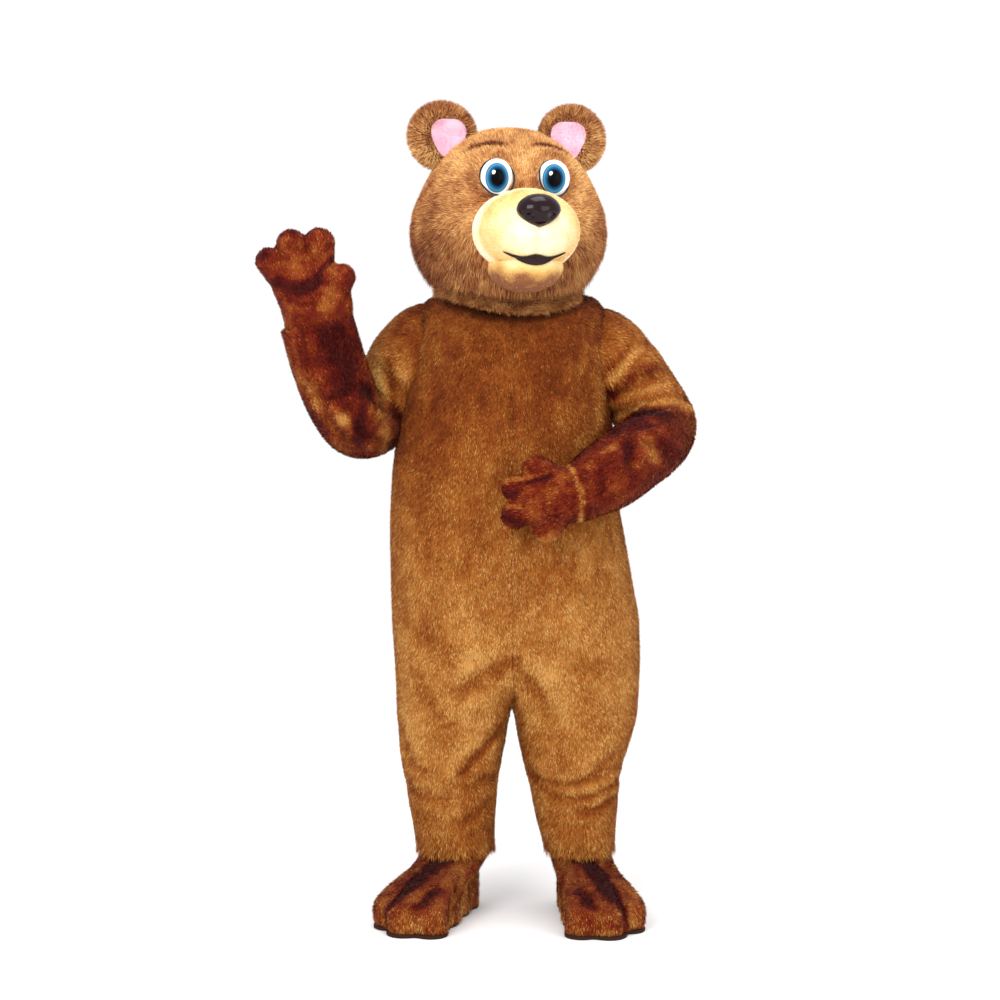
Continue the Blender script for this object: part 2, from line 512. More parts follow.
def skin_normals(points, faces):
    """Point normals of a sheet of quads or triangles."""
    corners = points[faces]
    if faces.shape[1] == 4:
        face_normal = np.cross(corners[:, 2] - corners[:, 0], corners[:, 3] - corners[:, 1])
    else:
        face_normal = np.cross(corners[:, 1] - corners[:, 0], corners[:, 2] - corners[:, 0])
    normals = np.zeros_like(points)
    for k in range(faces.shape[1]):
        np.add.at(normals, faces[:, k], face_normal)
    return unit(normals)


def grid_faces(rows, columns, around=False):
    """Quads of a grid of points."""
    span = columns if around else columns - 1
    r, c = np.meshgrid(np.arange(rows - 1), np.arange(span), indexing="ij")
    d = (c + 1) % columns
    near, far = r * columns, (r + 1) * columns
    quads = np.stack([near + c, near + d, far + d, far + c], axis=-1)
    return quads.reshape(-1, 4)


def grid_skin(grid, outward, around=False):
    """A skin from a grid of points, with its normals turned the way outward points."""
    points = grid.reshape(-1, 3)
    faces = grid_faces(*grid.shape[:2], around)
    normals = skin_normals(points, faces)
    if np.sum(normals * outward.reshape(-1, 3)) < 0:
        faces = faces[:, ::-1]
        normals = -normals
    return {"points": points, "faces": faces, "normals": normals}


def keep_faces(skin, kept):
    """Drop faces, and the points that no face uses any more."""
    faces = skin["faces"][kept]
    used = np.unique(faces)
    index = np.full(len(skin["points"]), -1)
    index[used] = np.arange(len(used))
    trimmed = {key: value[used] for key, value in skin.items() if key != "faces"}
    trimmed["faces"] = index[faces]
    return trimmed


def fill_mesh(name, points, faces, materials, indices=None):
    """An object from arrays of points and equal-sided faces."""
    mesh = bpy.data.meshes.new(name)
    mesh.vertices.add(len(points))
    mesh.vertices.foreach_set("co", np.ascontiguousarray(points, dtype=np.float32).ravel())
    mesh.loops.add(faces.size)
    mesh.loops.foreach_set("vertex_index", np.ascontiguousarray(faces, dtype=np.int32).ravel())
    mesh.polygons.add(len(faces))
    mesh.polygons.foreach_set("loop_start", np.arange(0, faces.size, faces.shape[1], dtype=np.int32))
    if indices is not None:
        mesh.polygons.foreach_set("material_index", np.ascontiguousarray(indices, dtype=np.int32))
    for material in materials:
        mesh.materials.append(material)
    mesh.update(calc_edges=True)
    mesh.validate()
    made = bpy.data.objects.new(name, mesh)
    bpy.context.scene.collection.objects.link(made)
    return made


def rim_edges(faces):
    """Edges that only one face has, in that face's own direction."""
    starts = faces.ravel()
    ends = np.roll(faces, -1, axis=1).ravel()
    keys = np.sort(np.stack([starts, ends], axis=1), axis=1)
    width = int(keys.max()) + 1
    _, first, counts = np.unique(keys[:, 0] * width + keys[:, 1], return_index=True, return_counts=True)
    lone = first[counts == 1]
    return np.stack([starts[lone], ends[lone]], axis=1)


def cut_quads(quads):
    """Each quad as two triangles."""
    return np.concatenate([quads[:, [0, 1, 2]], quads[:, [0, 2, 3]]])


def cloth(name, skin, material, thickness=CLOTH):
    """A closed cloth of even thickness whose outer face is the skin."""
    points, faces = skin["points"], skin["faces"]
    count = len(points)
    rim = rim_edges(faces)
    joined = np.stack([rim[:, 1], rim[:, 0], rim[:, 0] + count, rim[:, 1] + count], axis=1)
    if faces.shape[1] == 3:
        joined = cut_quads(joined)
    both = np.concatenate([points, points - thickness * skin["normals"]])
    made = fill_mesh(name, both, np.concatenate([faces, faces[:, ::-1] + count, joined]), [material])
    made.data.shade_smooth()
    for field in ("tone", "gold"):
        if field in skin:
            layer = made.data.attributes.new(field, "FLOAT", "POINT")
            layer.data.foreach_set("value", np.tile(skin[field], 2).astype(np.float32))
    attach(made, "root")
    return made


def weld(item):
    """Join the points that meet at a pole."""
    shape = bmesh.new()
    shape.from_mesh(item.data)
    bmesh.ops.remove_doubles(shape, verts=shape.verts, dist=1e-6)
    bmesh.ops.dissolve_degenerate(shape, edges=shape.edges, dist=1e-6)
    shape.to_mesh(item.data)
    shape.free()
    return item


def stroke_reach(flat, start, middle, end, width):
    """Distance from a bent line over its width, and how far along it each point lies."""
    last = 16
    steps = np.linspace(0, 1, last + 1)[:, None]
    line = (1 - steps) ** 2 * np.array(start) + steps**2 * np.array(end)
    bend = 2 * np.array(middle) - (np.array(start) + np.array(end)) / 2
    line = line + 2 * steps * (1 - steps) * bend
    distance = np.linalg.norm(flat[:, None, :] - line[None], axis=2)
    nearest = np.argmin(distance, axis=1)
    return distance[np.arange(len(flat)), nearest] / width, nearest / last


def laid_nap(flat, ragged, strokes):
    """How much lighter or darker strokes of laid nap make a coat, with ragged edges."""
    change = np.zeros(len(flat))
    for start, middle, end, width, amount in strokes:
        reach, _ = stroke_reach(flat, start, middle, end, width)
        change += amount * np.clip(1.5 - reach + ragged, 0, 1)
    return change


def brushed(skin, strokes):
    """Strokes of laid nap on the front of a skin."""
    points = skin["points"]
    ragged = 0.35 * cloud(points, 0.016, 33) + 0.25 * cloud(points, 0.007, 34)
    facing = np.clip(-skin["normals"][:, 1] * 3.0 + 0.3, 0, 1)
    return facing * laid_nap((points + DROP)[:, [0, 2]], ragged, strokes)


def fold(skin, folds):
    """Press the folds into a skin and keep their depth, which shades the coat."""
    push = np.zeros(len(skin["points"]))
    flat = (skin["points"] + DROP)[:, [0, 2]]
    for face, start, middle, end, width, depth in folds:
        facing = np.clip(TURNS[face] * skin["normals"][:, 1] * 2.5 + 0.25, 0, 1)
        reach, run = stroke_reach(flat, start, middle, end, width)
        ends = np.sin(np.pi * np.clip(0.08 + 0.84 * run, 0, 1)) ** 0.5
        push += facing * depth * ends * (bell(reach, 1.0) - 0.35 * bell(reach - 2.0, 1.0))
    skin["points"] = skin["points"] - push[:, None] * skin["normals"]
    skin["normals"] = skin_normals(skin["points"], skin["faces"])
    skin["folded"] = push
    return skin


def coat(name, skin, palette, kind, order=0, mask=None, second=()):
    """Blades that grow from a skin and lie along its nap, sorted by tone into plain colours.

    Where the skin is golden, its blades take the second palette."""
    count, length, width, lean, seed = PILES[kind]
    seed += order
    rng = np.random.default_rng(seed)
    faces = skin["faces"]
    if faces.shape[1] == 4:
        faces = cut_quads(faces)
    corners = skin["points"][faces]
    area = np.linalg.norm(np.cross(corners[:, 1] - corners[:, 0], corners[:, 2] - corners[:, 0]), axis=1)
    at = faces[rng.choice(len(faces), count, p=area / area.sum())]
    a = rng.random((count, 2))
    a = np.where(a.sum(axis=1, keepdims=True) > 1, 1 - a, a)
    weight = np.stack([1 - a.sum(axis=1), a[:, 0], a[:, 1]], axis=1)
    root, up, nap = ((skin[key][at] * weight[:, :, None]).sum(axis=1) for key in ("points", "normals", "nap"))
    up = unit(up)
    tone, size, gold = (
        (skin[key][at] * weight).sum(axis=1) if key in skin else np.full(count, usual)
        for key, usual in (("tone", 0.5), ("reach", 1.0), ("gold", 0.0))
    )
    if mask is not None:
        kept = mask(root)
        root, up, nap, tone, size, gold = (values[kept] for values in (root, up, nap, tone, size, gold))
        count = len(root)
    nap = unit(nap - (nap * up).sum(axis=1, keepdims=True) * up)
    swirl = np.stack([cloud(root, SWIRL_SIZE, seed + k) for k in range(3)], axis=1)
    nap = unit(nap + NAP_SWIRL * swirl + NAP_SCATTER * rng.normal(size=(count, 3)))
    nap = unit(nap - (nap * up).sum(axis=1, keepdims=True) * up)
    tilt = lean + LEAN_SCATTER * rng.normal(size=(count, 1))
    along = np.cos(tilt) * up + np.sin(tilt) * nap
    long = length * size * rng.uniform(0.7, 1.15, count)
    side = unit(np.cross(along, up) + SIDE_SCATTER * rng.normal(size=(count, 3)))
    half = width / 2 * rng.uniform(0.7, 1.2, (count, 1))
    root = root - ROOT_DEPTH * up
    points = np.stack([root - half * side, root + half * side, root + along * long[:, None]], axis=1)
    shade = tone + TONE_SCATTER * rng.normal(size=count) + TUFT_TONE * cloud(root, TUFT_SIZE, seed + 7)
    index = np.clip(shade * len(palette), 0, len(palette) - 1).astype(int)
    index = index + len(palette) * (rng.random(count) < gold)
    blades = np.arange(3 * count).reshape(-1, 3)
    made = fill_mesh(name, points.reshape(-1, 3), blades, [*palette, *second], index)
    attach(made, "root")
    return made


def dress(name, skin, looks, kind, order=0, covers=(), thickness=CLOTH,
          welded=False, mask=None, second=()):
    """A backing cloth and its coat, which take the place of the solids they cover."""
    backing, blades = looks
    cover = cloth(f"{name}_cloth", skin, backing, thickness)
    if welded:
        weld(cover)
    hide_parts(*(covers or (name,)))
    fur = coat(f"{name}_pile", skin, blades, kind, order, mask, second)
    return cover, fur


# Materials.


def new_material(name, roughness, shine):
    """A material, the nodes and links of its tree, and its shader."""
    made = bpy.data.materials.new(name)
    made.use_nodes = True
    nodes, links = made.node_tree.nodes, made.node_tree.links
    shader = nodes["Principled BSDF"]
    shader.inputs["Roughness"].default_value = roughness
    shader.inputs["Specular IOR Level"].default_value = shine
    return made, nodes, links, shader


def new_noise(nodes, links, scale):
    """A noise texture in the piece's own space."""
    place = nodes.new("ShaderNodeTexCoord")
    made = nodes.new("ShaderNodeTexNoise")
    made.inputs["Scale"].default_value = scale
    links.new(place.outputs["Object"], made.inputs["Vector"])
    return made


def new_field(nodes, name):
    """The output of a value stored at the piece's points."""
    made = nodes.new("ShaderNodeAttribute")
    made.attribute_name = name
    return made.outputs["Fac"]


def new_ramp(nodes, links, value, stops):
    """The colours that a value takes between some stops."""
    made = nodes.new("ShaderNodeValToRGB")
    elements = made.color_ramp.elements
    while len(elements) < len(stops):
        elements.new(0.5)
    for k, (position, colour) in enumerate(stops):
        elements[k].position = position
        elements[k].color = (*linear(colour), 1.0)
    links.new(value, made.inputs["Fac"])
    return made.outputs["Color"]


def even_stops(colours):
    """Colours with evenly spaced positions."""
    return [(k / (len(colours) - 1), colour) for k, colour in enumerate(colours)]


def add_bump(nodes, links, shader, scale, strength):
    """A fine bump under a shader."""
    grain = new_noise(nodes, links, scale)
    bump = nodes.new("ShaderNodeBump")
    bump.inputs["Strength"].default_value = strength
    bump.inputs["Distance"].default_value = 0.001
    links.new(grain.outputs["Fac"], bump.inputs["Height"])
    links.new(bump.outputs["Normal"], shader.inputs["Normal"])


def plush_material(name, colours, grain, second=()):
    """Backing cloth seen between the blades: mottled, matt, with a soft sheen and a fine nap."""
    made, nodes, links, shader = new_material(name, 0.85, 0.15)
    shader.inputs["Sheen Weight"].default_value = 0.06
    blotch = new_noise(nodes, links, grain)
    blotch.inputs["Detail"].default_value = 5.0
    mixed = nodes.new("ShaderNodeMath")
    mixed.operation = "MULTIPLY_ADD"
    mixed.inputs[1].default_value = 0.5
    links.new(blotch.outputs["Fac"], mixed.inputs[0])
    links.new(new_field(nodes, "tone"), mixed.inputs[2])
    shift = nodes.new("ShaderNodeMath")
    shift.operation = "SUBTRACT"
    shift.inputs[1].default_value = 0.30
    links.new(mixed.outputs[0], shift.inputs[0])
    colour = new_ramp(nodes, links, shift.outputs[0], even_stops(colours))
    if second:
        mix = nodes.new("ShaderNodeMixRGB")
        links.new(new_field(nodes, "gold"), mix.inputs["Fac"])
        links.new(colour, mix.inputs["Color1"])
        links.new(new_ramp(nodes, links, shift.outputs[0], even_stops(second)), mix.inputs["Color2"])
        colour = mix.outputs["Color"]
    links.new(colour, shader.inputs["Base Color"])
    add_bump(nodes, links, shader, 900.0, 0.5)
    return made


def blade_materials(name, colours, sheen=0.06, shine=0.12):
    """One plain material for each tone of a coat."""
    palette = []
    for k, colour in enumerate(colours):
        made, _, _, shader = new_material(f"{name}_{k}", 0.7, shine)
        shader.inputs["Base Color"].default_value = (*linear(colour), 1.0)
        shader.inputs["Sheen Weight"].default_value = sheen
        shader.inputs["Sheen Tint"].default_value = (*linear(colours[-1]), 1.0)
        palette.append(made)
    return palette


def eye_material():
    """A glossy moulded eye: white with a blue iris and a black pupil, by distance from its middle."""
    made, nodes, links, shader = new_material("eye_gloss", 0.30, 0.06)
    links.new(new_ramp(nodes, links, new_field(nodes, "tone"), EYE_STOPS), shader.inputs["Base Color"])
    return made


def gloss_material(name, colour, roughness, grain=60.0, shine=0.35):
    """Moulded plastic or rubber with a faint orange-peel surface."""
    made, nodes, links, shader = new_material(name, roughness, shine)
    shader.inputs["Base Color"].default_value = (*linear(colour), 1.0)
    add_bump(nodes, links, shader, grain, 0.12)
    return made


def make_looks():
    """Every material by name: plush as its backing and its blades, the rest one each."""
    reddish = blade_materials("reddish_blade", REDDISH, 0.03, 0.04)
    return {
        "golden": (plush_material("golden_cloth", GOLDEN[:5], 22.0), blade_materials("golden_blade", GOLDEN)),
        "sleeve": (plush_material("sleeve_cloth", REDDISH[:5], 22.0, GOLDEN[:5]), reddish),
        "paw": (plush_material("paw_cloth", REDDISH[:5], 22.0, AMBER[:5]), reddish),
        "amber_blades": blade_materials("amber_blade", AMBER, 0.03, 0.05),
        "head": (
            plush_material("head_cloth", HEAD_BROWN[:5], 26.0),
            blade_materials("head_blade", HEAD_BROWN),
        ),
        "cream": (plush_material("cream_cloth", CREAM, 30.0), blade_materials("cream_blade", CREAM)),
        "pink": (plush_material("pink_cloth", PINK, 40.0), blade_materials("pink_blade", PINK)),
        "eye": eye_material(),
        "seat": gloss_material("seat_dark", (30, 16, 14), 0.6),
        "white": gloss_material("paint_white", (250, 250, 250), 0.3),
        "nose": gloss_material("nose_gloss", (26, 6, 12), 0.15, 25.0, 0.22),
        "mouth": gloss_material("mouth_dark", (34, 14, 12), 0.8, 400.0),
        "sole": gloss_material("sole_rubber", (50, 26, 18), 0.8, 200.0, 0.15),
        "tape": gloss_material("zip_weave", (110, 62, 28), 0.85, 700.0),
        "metal": gloss_material("zip_metal", (150, 128, 84), 0.35, 90.0),
    }


# The suit.


def suit_measure(column, heights):
    """One measure of the suit at some heights."""
    return smooth_between(SUIT_SECTIONS[:, 0], SUIT_SECTIONS[:, SUIT_COLUMN[column]], heights)


def suit_middle(heights):
    """The middle of the suit's depth at some heights, and half that depth."""
    front_y, back_y = suit_measure("front_y", heights), suit_measure("back_y", heights)
    return (front_y + back_y) / 2, (back_y - front_y) / 2


def suit_lean(side, heights):
    """The lean of the side seam from vertical."""
    top = np.minimum(heights + 0.002, SUIT_SECTIONS[0, 0])
    bottom = np.maximum(heights - 0.002, SUIT_SECTIONS[-1, 0])
    run = suit_measure(side + "_out", bottom) - suit_measure(side + "_out", top)
    return np.arctan2(np.maximum(run, 0.0), top - bottom)


def suit_grid(side, face, heights, shares):
    """Points of one panel: rows down the heights, columns from the centre to the side seam."""
    h = heights[:, None]
    lean = suit_lean(side, h)
    out, inner = suit_measure(side + "_out", h), suit_measure(side + "_inner", h)
    middle_x, half_width = (out + inner) / 2, (out - inner) / 2 - SUIT_PILE * np.cos(lean)
    middle_y, half_depth = suit_middle(h)
    half_depth = half_depth - SUIT_PILE * np.cos(lean)
    zipped = (face == "back") & (h > ZIP_BOTTOM)
    edge = np.where(zipped, ZIP_HALF, 0.0) + CENTRE_GAP
    reach = np.clip((middle_x - edge) / half_width, -1, 1)
    start = np.arccos(signed_power(reach, SUIT_ROUNDNESS / 2))
    angle = start + (math.pi - start) * shares[None]
    wide = signed_power(np.cos(angle), 2 / SUIT_ROUNDNESS)
    deep = np.maximum(np.sin(angle), 0.0) ** (2 / SUIT_ROUNDNESS)
    x = SIGNS[side] * (middle_x - half_width * wide)
    y = middle_y + TURNS[face] * half_depth * deep
    z = h - suit_measure(face + "_drop", h) * deep**2 - SUIT_PILE * np.sin(lean) - FLOOR_DROP
    outward = np.stack([-SIGNS[side] * wide, TURNS[face] * deep, 0 * wide], axis=-1)
    return np.stack([x, y, z], axis=-1), outward


def suit_depth(side, points, inset):
    """Below zero inside the body's skin, above zero outside it."""
    x, y, z = SIGNS[side] * points[..., 0], points[..., 1], points[..., 2] + FLOOR_DROP
    h = z
    for _ in range(4):
        middle_y, half_depth = suit_middle(h)
        deep = np.clip(np.abs(y - middle_y) / half_depth, 0, 1)
        drop = np.where(y < middle_y, suit_measure("front_drop", h), suit_measure("back_drop", h))
        h = np.minimum(z + drop * deep**2, SUIT_SECTIONS[0, 0])
    wide = np.maximum(x, 0.0) / (suit_measure(side + "_out", h) - inset)
    deep = np.abs(y - middle_y) / (half_depth - inset)
    return wide**SUIT_ROUNDNESS + deep**SUIT_ROUNDNESS - 1.0


def fine_heights(parts):
    """The suit's ring heights with more rings between each pair, and two where the zip ends."""
    steps = np.arange(0, (len(SUIT_RINGS) - 1) * parts + 1) / parts
    heights = np.interp(steps, np.arange(len(SUIT_RINGS)), SUIT_RINGS)
    zip_end = (ZIP_BOTTOM + 0.0006, ZIP_BOTTOM - 0.0006)
    return np.sort(np.concatenate([heights, zip_end]))[::-1]


def suit_tone(skin):
    """Rusty chest, lighter gold legs, darker sides and folds, with blotches of brushed nap."""
    points = skin["points"]
    tone = np.interp(
        points[:, 2] + FLOOR_DROP,
        (0.14, 0.25, 0.34, 0.45, 0.62, 0.80, 0.92, 1.05, 1.18, 1.40, 1.46),
        (0.52, 0.56, 0.61, 0.68, 0.70, 0.66, 0.62, 0.52, 0.34, 0.31, 0.34),
    )
    stretched = points * np.array([1.0, 1.0, 0.6])
    tone = tone + 0.11 * cloud(stretched, 0.085, 3) + 0.10 * cloud(stretched, 0.034, 4)
    tone = tone + 0.12 * cloud(points, 0.013, 5) + brushed(skin, SUIT_STROKES)
    tone = tone - 0.16 * np.clip(1 - np.abs(skin["normals"][:, 1]) * 1.4, 0, 1)
    return tone - 26.0 * np.clip(skin["folded"], -0.004, 0.012)


def off_the_zip(points):
    """True for roots that leave the zip's teeth clear."""
    below = points[:, 2] < ZIP_BOTTOM - FLOOR_DROP
    return (points[:, 1] < 0) | (np.abs(points[:, 0]) > ZIP_CLEAR) | below


def make_suit(looks):
    """Four panels, each with its coat."""
    heights, shares = fine_heights(4), np.linspace(0, 1, 36)
    made = []
    for side in SIGNS:
        for face in TURNS:
            skin = fold(grid_skin(*suit_grid(side, face, heights, shares)), SUIT_FOLDS)
            skin = cut_armhole(skin, side)
            skin["nap"] = np.tile((0.0, 0.0, -1.0), (len(skin["points"]), 1))
            skin["tone"] = suit_tone(skin)
            above_hem = skin["points"][:, 2] + FLOOR_DROP - HEM_HEIGHT
            skin["reach"] = np.interp(above_hem, (0.0, 0.012, 0.030), (2.1, 1.5, 1.0))
            made.append(dress(f"suit_{face}_{side}", skin, looks["golden"], "suit",
                              len(made), mask=off_the_zip))
    return made


# The sleeves.


def sleeve_line(side):
    """Centre, radius and frame at even steps along a sleeve."""
    table = SLEEVES[side]
    knots = np.concatenate([[0], np.cumsum(np.linalg.norm(np.diff(table[:, :3], axis=0), axis=1))])
    along = np.linspace(0, knots[-1], SLEEVE_STEPS)
    values = np.stack([smooth_path(knots, table[:, c], along) for c in range(4)], axis=1)
    centres, radii = values[:, :3], values[:, 3]
    hand = unit(np.array(HAND_ALONG[side]))
    tangents = unit(np.gradient(centres, axis=0))
    near = fade(along, knots[-1] - 0.05, knots[-1])[:, None]
    tangents = unit(tangents * (1 - near) + hand * near)
    first = np.array(HAND_ACROSS[side])
    firsts = np.zeros_like(centres)
    for r in range(SLEEVE_STEPS - 1, -1, -1):
        first = first - (first @ tangents[r]) * tangents[r]
        first = first / np.linalg.norm(first)
        firsts[r] = first
    return along, centres - DROP, radii, tangents, firsts


def cut_armhole(skin, side):
    """Open a panel where its sleeve is set in, with the cut's edge on the seam."""
    _, centres, radii, _, _ = sleeve_line(side)
    centres = centres[:UPPER_STEPS]
    away = np.linalg.norm(skin["points"][:, None] - centres[None], axis=2)
    inside = radii[None, :UPPER_STEPS] - SUIT_PILE - away
    kept = ~np.all(inside.max(axis=1)[skin["faces"]] > 0, axis=1)
    skin["inside"] = inside.max(axis=1)
    skin["from"] = skin["points"] - centres[inside.argmax(axis=1)]
    skin = keep_faces(skin, kept)
    push = np.maximum(skin.pop("inside"), 0.0)
    skin["points"] = skin["points"] + unit(skin.pop("from")) * push[:, None]
    return skin


def seam_crossing(side, tube, along):
    """How far along the sleeve each of its lines comes out of the body."""
    within = suit_depth(side, tube, 0.006) < 0
    within[SLEEVE_STEPS // 2:] = False
    cross = np.array([along[max(np.nonzero(line)[0], default=0)] for line in within.T])
    return relaxed(cross, 2)


def sleeve_skin(side, columns, rows):
    """A sleeve from the armhole seam to the cuff, which turns in round the mitt."""
    along, centres, radii, tangents, firsts = sleeve_line(side)
    seconds = np.cross(firsts, tangents)
    theta = round_steps(columns)
    last = along[-1]
    flat = fade(along, last - WRIST_LENGTH, last)
    flat = flat * flat * (3 - 2 * flat)
    wide = (radii - SUIT_PILE) * (1 - SLEEVE_TAPER[side] * flat)
    deep = wide - WRIST_FLAT * flat
    spokes = np.cos(theta)[None, :, None] * firsts[:, None] * wide[:, None, None]
    spokes = spokes + np.sin(theta)[None, :, None] * seconds[:, None] * deep[:, None, None]
    tube = centres[:, None] + spokes
    cross = seam_crossing(side, tube, along)[None]
    at = cross + (last - cross) * np.linspace(0, 1, rows)[:, None]
    position = np.interp(at.ravel(), along, np.arange(len(along))).reshape(at.shape)
    low = np.clip(np.floor(position).astype(int), 0, len(along) - 2)
    part = (position - low)[..., None]
    column = np.arange(columns)[None]
    cuff = cuff_rows(tube[-1], centres[-1], side, theta)
    grid = np.concatenate([tube[low, column] * (1 - part) + tube[low + 1, column] * part, cuff])
    outward = np.concatenate([grid[:rows] - centres[low], 0 * cuff])
    skin = fold(grid_skin(grid, outward, around=True), SLEEVE_FOLDS)
    beyond = np.ones((len(cuff), columns))
    skin["nap"] = unit(np.gradient(grid, axis=0).reshape(-1, 3))
    skin["run"] = np.concatenate([at / last, beyond]).ravel()
    skin["from_seam"] = np.concatenate([at - cross, last * beyond]).ravel()
    return skin


def cuff_rows(edge, centre, side, theta):
    """Rows that turn the sleeve's end in to the mitt."""
    hand = unit(np.array(HAND_ALONG[side]))
    spoke = edge - centre
    length = np.linalg.norm(spoke, axis=1, keepdims=True)
    rim = np.hypot(CUFF_WIDE[side] * np.cos(theta), WRIST_THICK * np.sin(theta))[:, None] - 0.001
    rim = np.minimum(rim, length - 0.003)
    rows = []
    for turn in np.arange(1, 7) / 6 * math.pi * 0.62:
        size = rim + (length - rim) * math.cos(turn)
        rows.append(centre + spoke / length * size + hand * 0.008 * math.sin(turn))
    return np.array(rows)


def sleeve_tone(side, skin):
    """Golden upper arm and red-brown forearm with patches of laid nap."""
    points = skin["points"]
    start, end, low = FOREARMS[side]
    tone = np.interp(skin["run"], (0.0, 0.10, start, end, 1.0), (0.36, 0.50, 0.60, low, low))
    stretched = points * np.array([0.8, 1.0, 0.8])
    tone = tone + 0.12 * cloud(stretched, 0.050, 13) + 0.16 * cloud(stretched, 0.020, 14)
    tone = tone - 0.16 * bell(skin["from_seam"], 0.032) + brushed(skin, SLEEVE_STROKES)
    upper = np.interp(skin["run"], (start - 0.05, end + 0.03), (1.0, 0.0))
    skin["gold"] = np.maximum(upper, np.clip((tone - 0.52) * 3.5, 0, 1)) * np.clip(tone * 5 - 0.6, 0, 1)
    return tone - 28.0 * np.clip(skin["folded"], -0.004, 0.010)


def make_sleeves(looks):
    """Both sleeves with their coats."""
    made = []
    for order, side in enumerate(SIGNS):
        skin = sleeve_skin(side, 56, 84)
        skin["tone"] = sleeve_tone(side, skin)
        made.append(dress(f"sleeve_{side}", skin, looks["sleeve"], "sleeve", order,
                          second=looks["golden"][1]))
    return made


# The mitts and the foot covers.


def ball(centre, radii):
    """Points and faces of an icosphere stretched to three radii."""
    shape = bmesh.new()
    bmesh.ops.create_icosphere(shape, subdivisions=3, radius=1.0)
    points = np.array([v.co[:] for v in shape.verts]) * np.array(radii) + np.array(centre)
    faces = np.array([[v.index for v in f.verts] for f in shape.faces])
    shape.free()
    return points, faces


def fused(name, balls):
    """One skin round many balls in the hand's own axes, open at the wrist."""
    points, faces, base = [], [], 0
    for p, f in balls:
        points.append(p)
        faces.append(f + base)
        base += len(p)
    rough = fill_mesh(name, np.concatenate(points), np.concatenate(faces), [])
    remesh = rough.modifiers.new("fuse", "REMESH")
    remesh.mode = "VOXEL"
    remesh.voxel_size = MITT_VOXEL
    relax = rough.modifiers.new("relax", "SMOOTH")
    relax.factor = 0.5
    relax.iterations = 4
    shape = bmesh.new()
    shape.from_object(rough, bpy.context.evaluated_depsgraph_get())
    bmesh.ops.bisect_plane(
        shape, geom=shape.verts[:] + shape.edges[:] + shape.faces[:], plane_co=Vector((0, -MITT_TUCK, 0)),
        plane_no=Vector((0, -1, 0)), clear_outer=True,
    )
    bmesh.ops.triangulate(shape, faces=shape.faces)
    shape.verts.index_update()
    found = np.array([v.co[:] for v in shape.verts])
    made = np.array([[v.index for v in f.verts] for f in shape.faces])
    shape.free()
    bpy.data.objects.remove(rough, do_unlink=True)
    return {"points": found, "faces": made, "normals": skin_normals(found, made)}


def hand_frame(side):
    """Wrist point and the hand's axes: across, along the fingers, and out of its flat side."""
    v = unit(np.array(HAND_ALONG[side]))
    u = np.array(HAND_ACROSS[side])
    u = unit(u - (u @ v) * v)
    return SLEEVES[side][-1, :3] - DROP, np.stack([u, v, np.cross(u, v)])


def digit_balls(side):
    """Balls along each digit, which leans a little out of the palm."""
    balls = []
    for angle, centre, radius in DIGITS[side]:
        a = math.radians(angle)
        for s in np.linspace(0.36, 1.0, 9):
            r = (radius - SUIT_PILE) * (0.95 + 0.05 * s)
            lift = -SIGNS[side] * 0.012 * s * s
            balls.append(ball((math.sin(a) * centre * s, math.cos(a) * centre * s, lift), (r, r, r * 0.92)))
    return balls


def palm_balls(side):
    """Balls of the palm and the wrist; the raised mitt's wrist is as wide as its sleeve."""
    angle, centre, radius = PALMS[side]
    a = math.radians(angle)
    radius = radius - SUIT_PILE
    wide, thick = WRIST_WIDE - SUIT_PILE, WRIST_THICK - SUIT_PILE
    palm = (math.sin(a) * centre, math.cos(a) * centre, -SIGNS[side] * 0.003)
    balls = [ball(palm, (radius, radius, thick - 0.006))]
    for b in np.linspace(-0.045, centre * 0.6, 8):
        balls.append(ball((math.sin(a) * b * 0.5, b, 0.0), (wide, 0.034, thick)))
    if side == "right":
        for b in np.linspace(-0.050, 0.104, 24):
            wide = np.interp(b, (-0.050, 0.000, 0.060, 0.104), (0.083, 0.083, 0.087, 0.091)) - SUIT_PILE
            aside = np.interp(b, (-0.010, 0.030, 0.060, 0.104), (0.000, 0.008, 0.008, 0.003))
            balls.append(ball((aside, b, 0.0), (wide, 0.026, thick + SUIT_PILE / 2)))
    return balls


def mitt_tone(side, along, skin):
    """Red-brown with dark patches in the palm and lighter finger tips."""
    points = skin["points"]
    tone = np.interp(along, *MITT_TONES[side])
    tone = tone + 0.12 * cloud(points, 0.035, 21) + 0.16 * cloud(points, 0.014, 22)
    return tone + brushed(skin, MITT_STROKES)


def make_mitts(looks):
    """Both mitts: a palm and a back sewn into one glove each."""
    made = []
    for order, side in enumerate(SIGNS):
        origin, axes = hand_frame(side)
        skin = fused(f"mitt_{side}_form", digit_balls(side) + palm_balls(side))
        local = skin["points"]
        skin["points"] = origin + local @ axes
        skin["normals"] = skin["normals"] @ axes
        if np.linalg.det(axes) < 0:
            skin["faces"] = skin["faces"][:, ::-1]
        skin["nap"] = np.tile(axes[1], (len(local), 1)) + 0.6 * (local[:, :1] * axes[0])
        skin["tone"] = mitt_tone(side, local[:, 1], skin)
        skin["gold"] = np.clip((skin["tone"] - 0.44) * 3.5, 0, 1)
        made.append(dress(f"mitt_{side}", skin, looks["paw"], "mitt", order,
                          (f"mitt_palm_{side}", f"mitt_back_{side}"), second=looks["amber_blades"]))
    return made


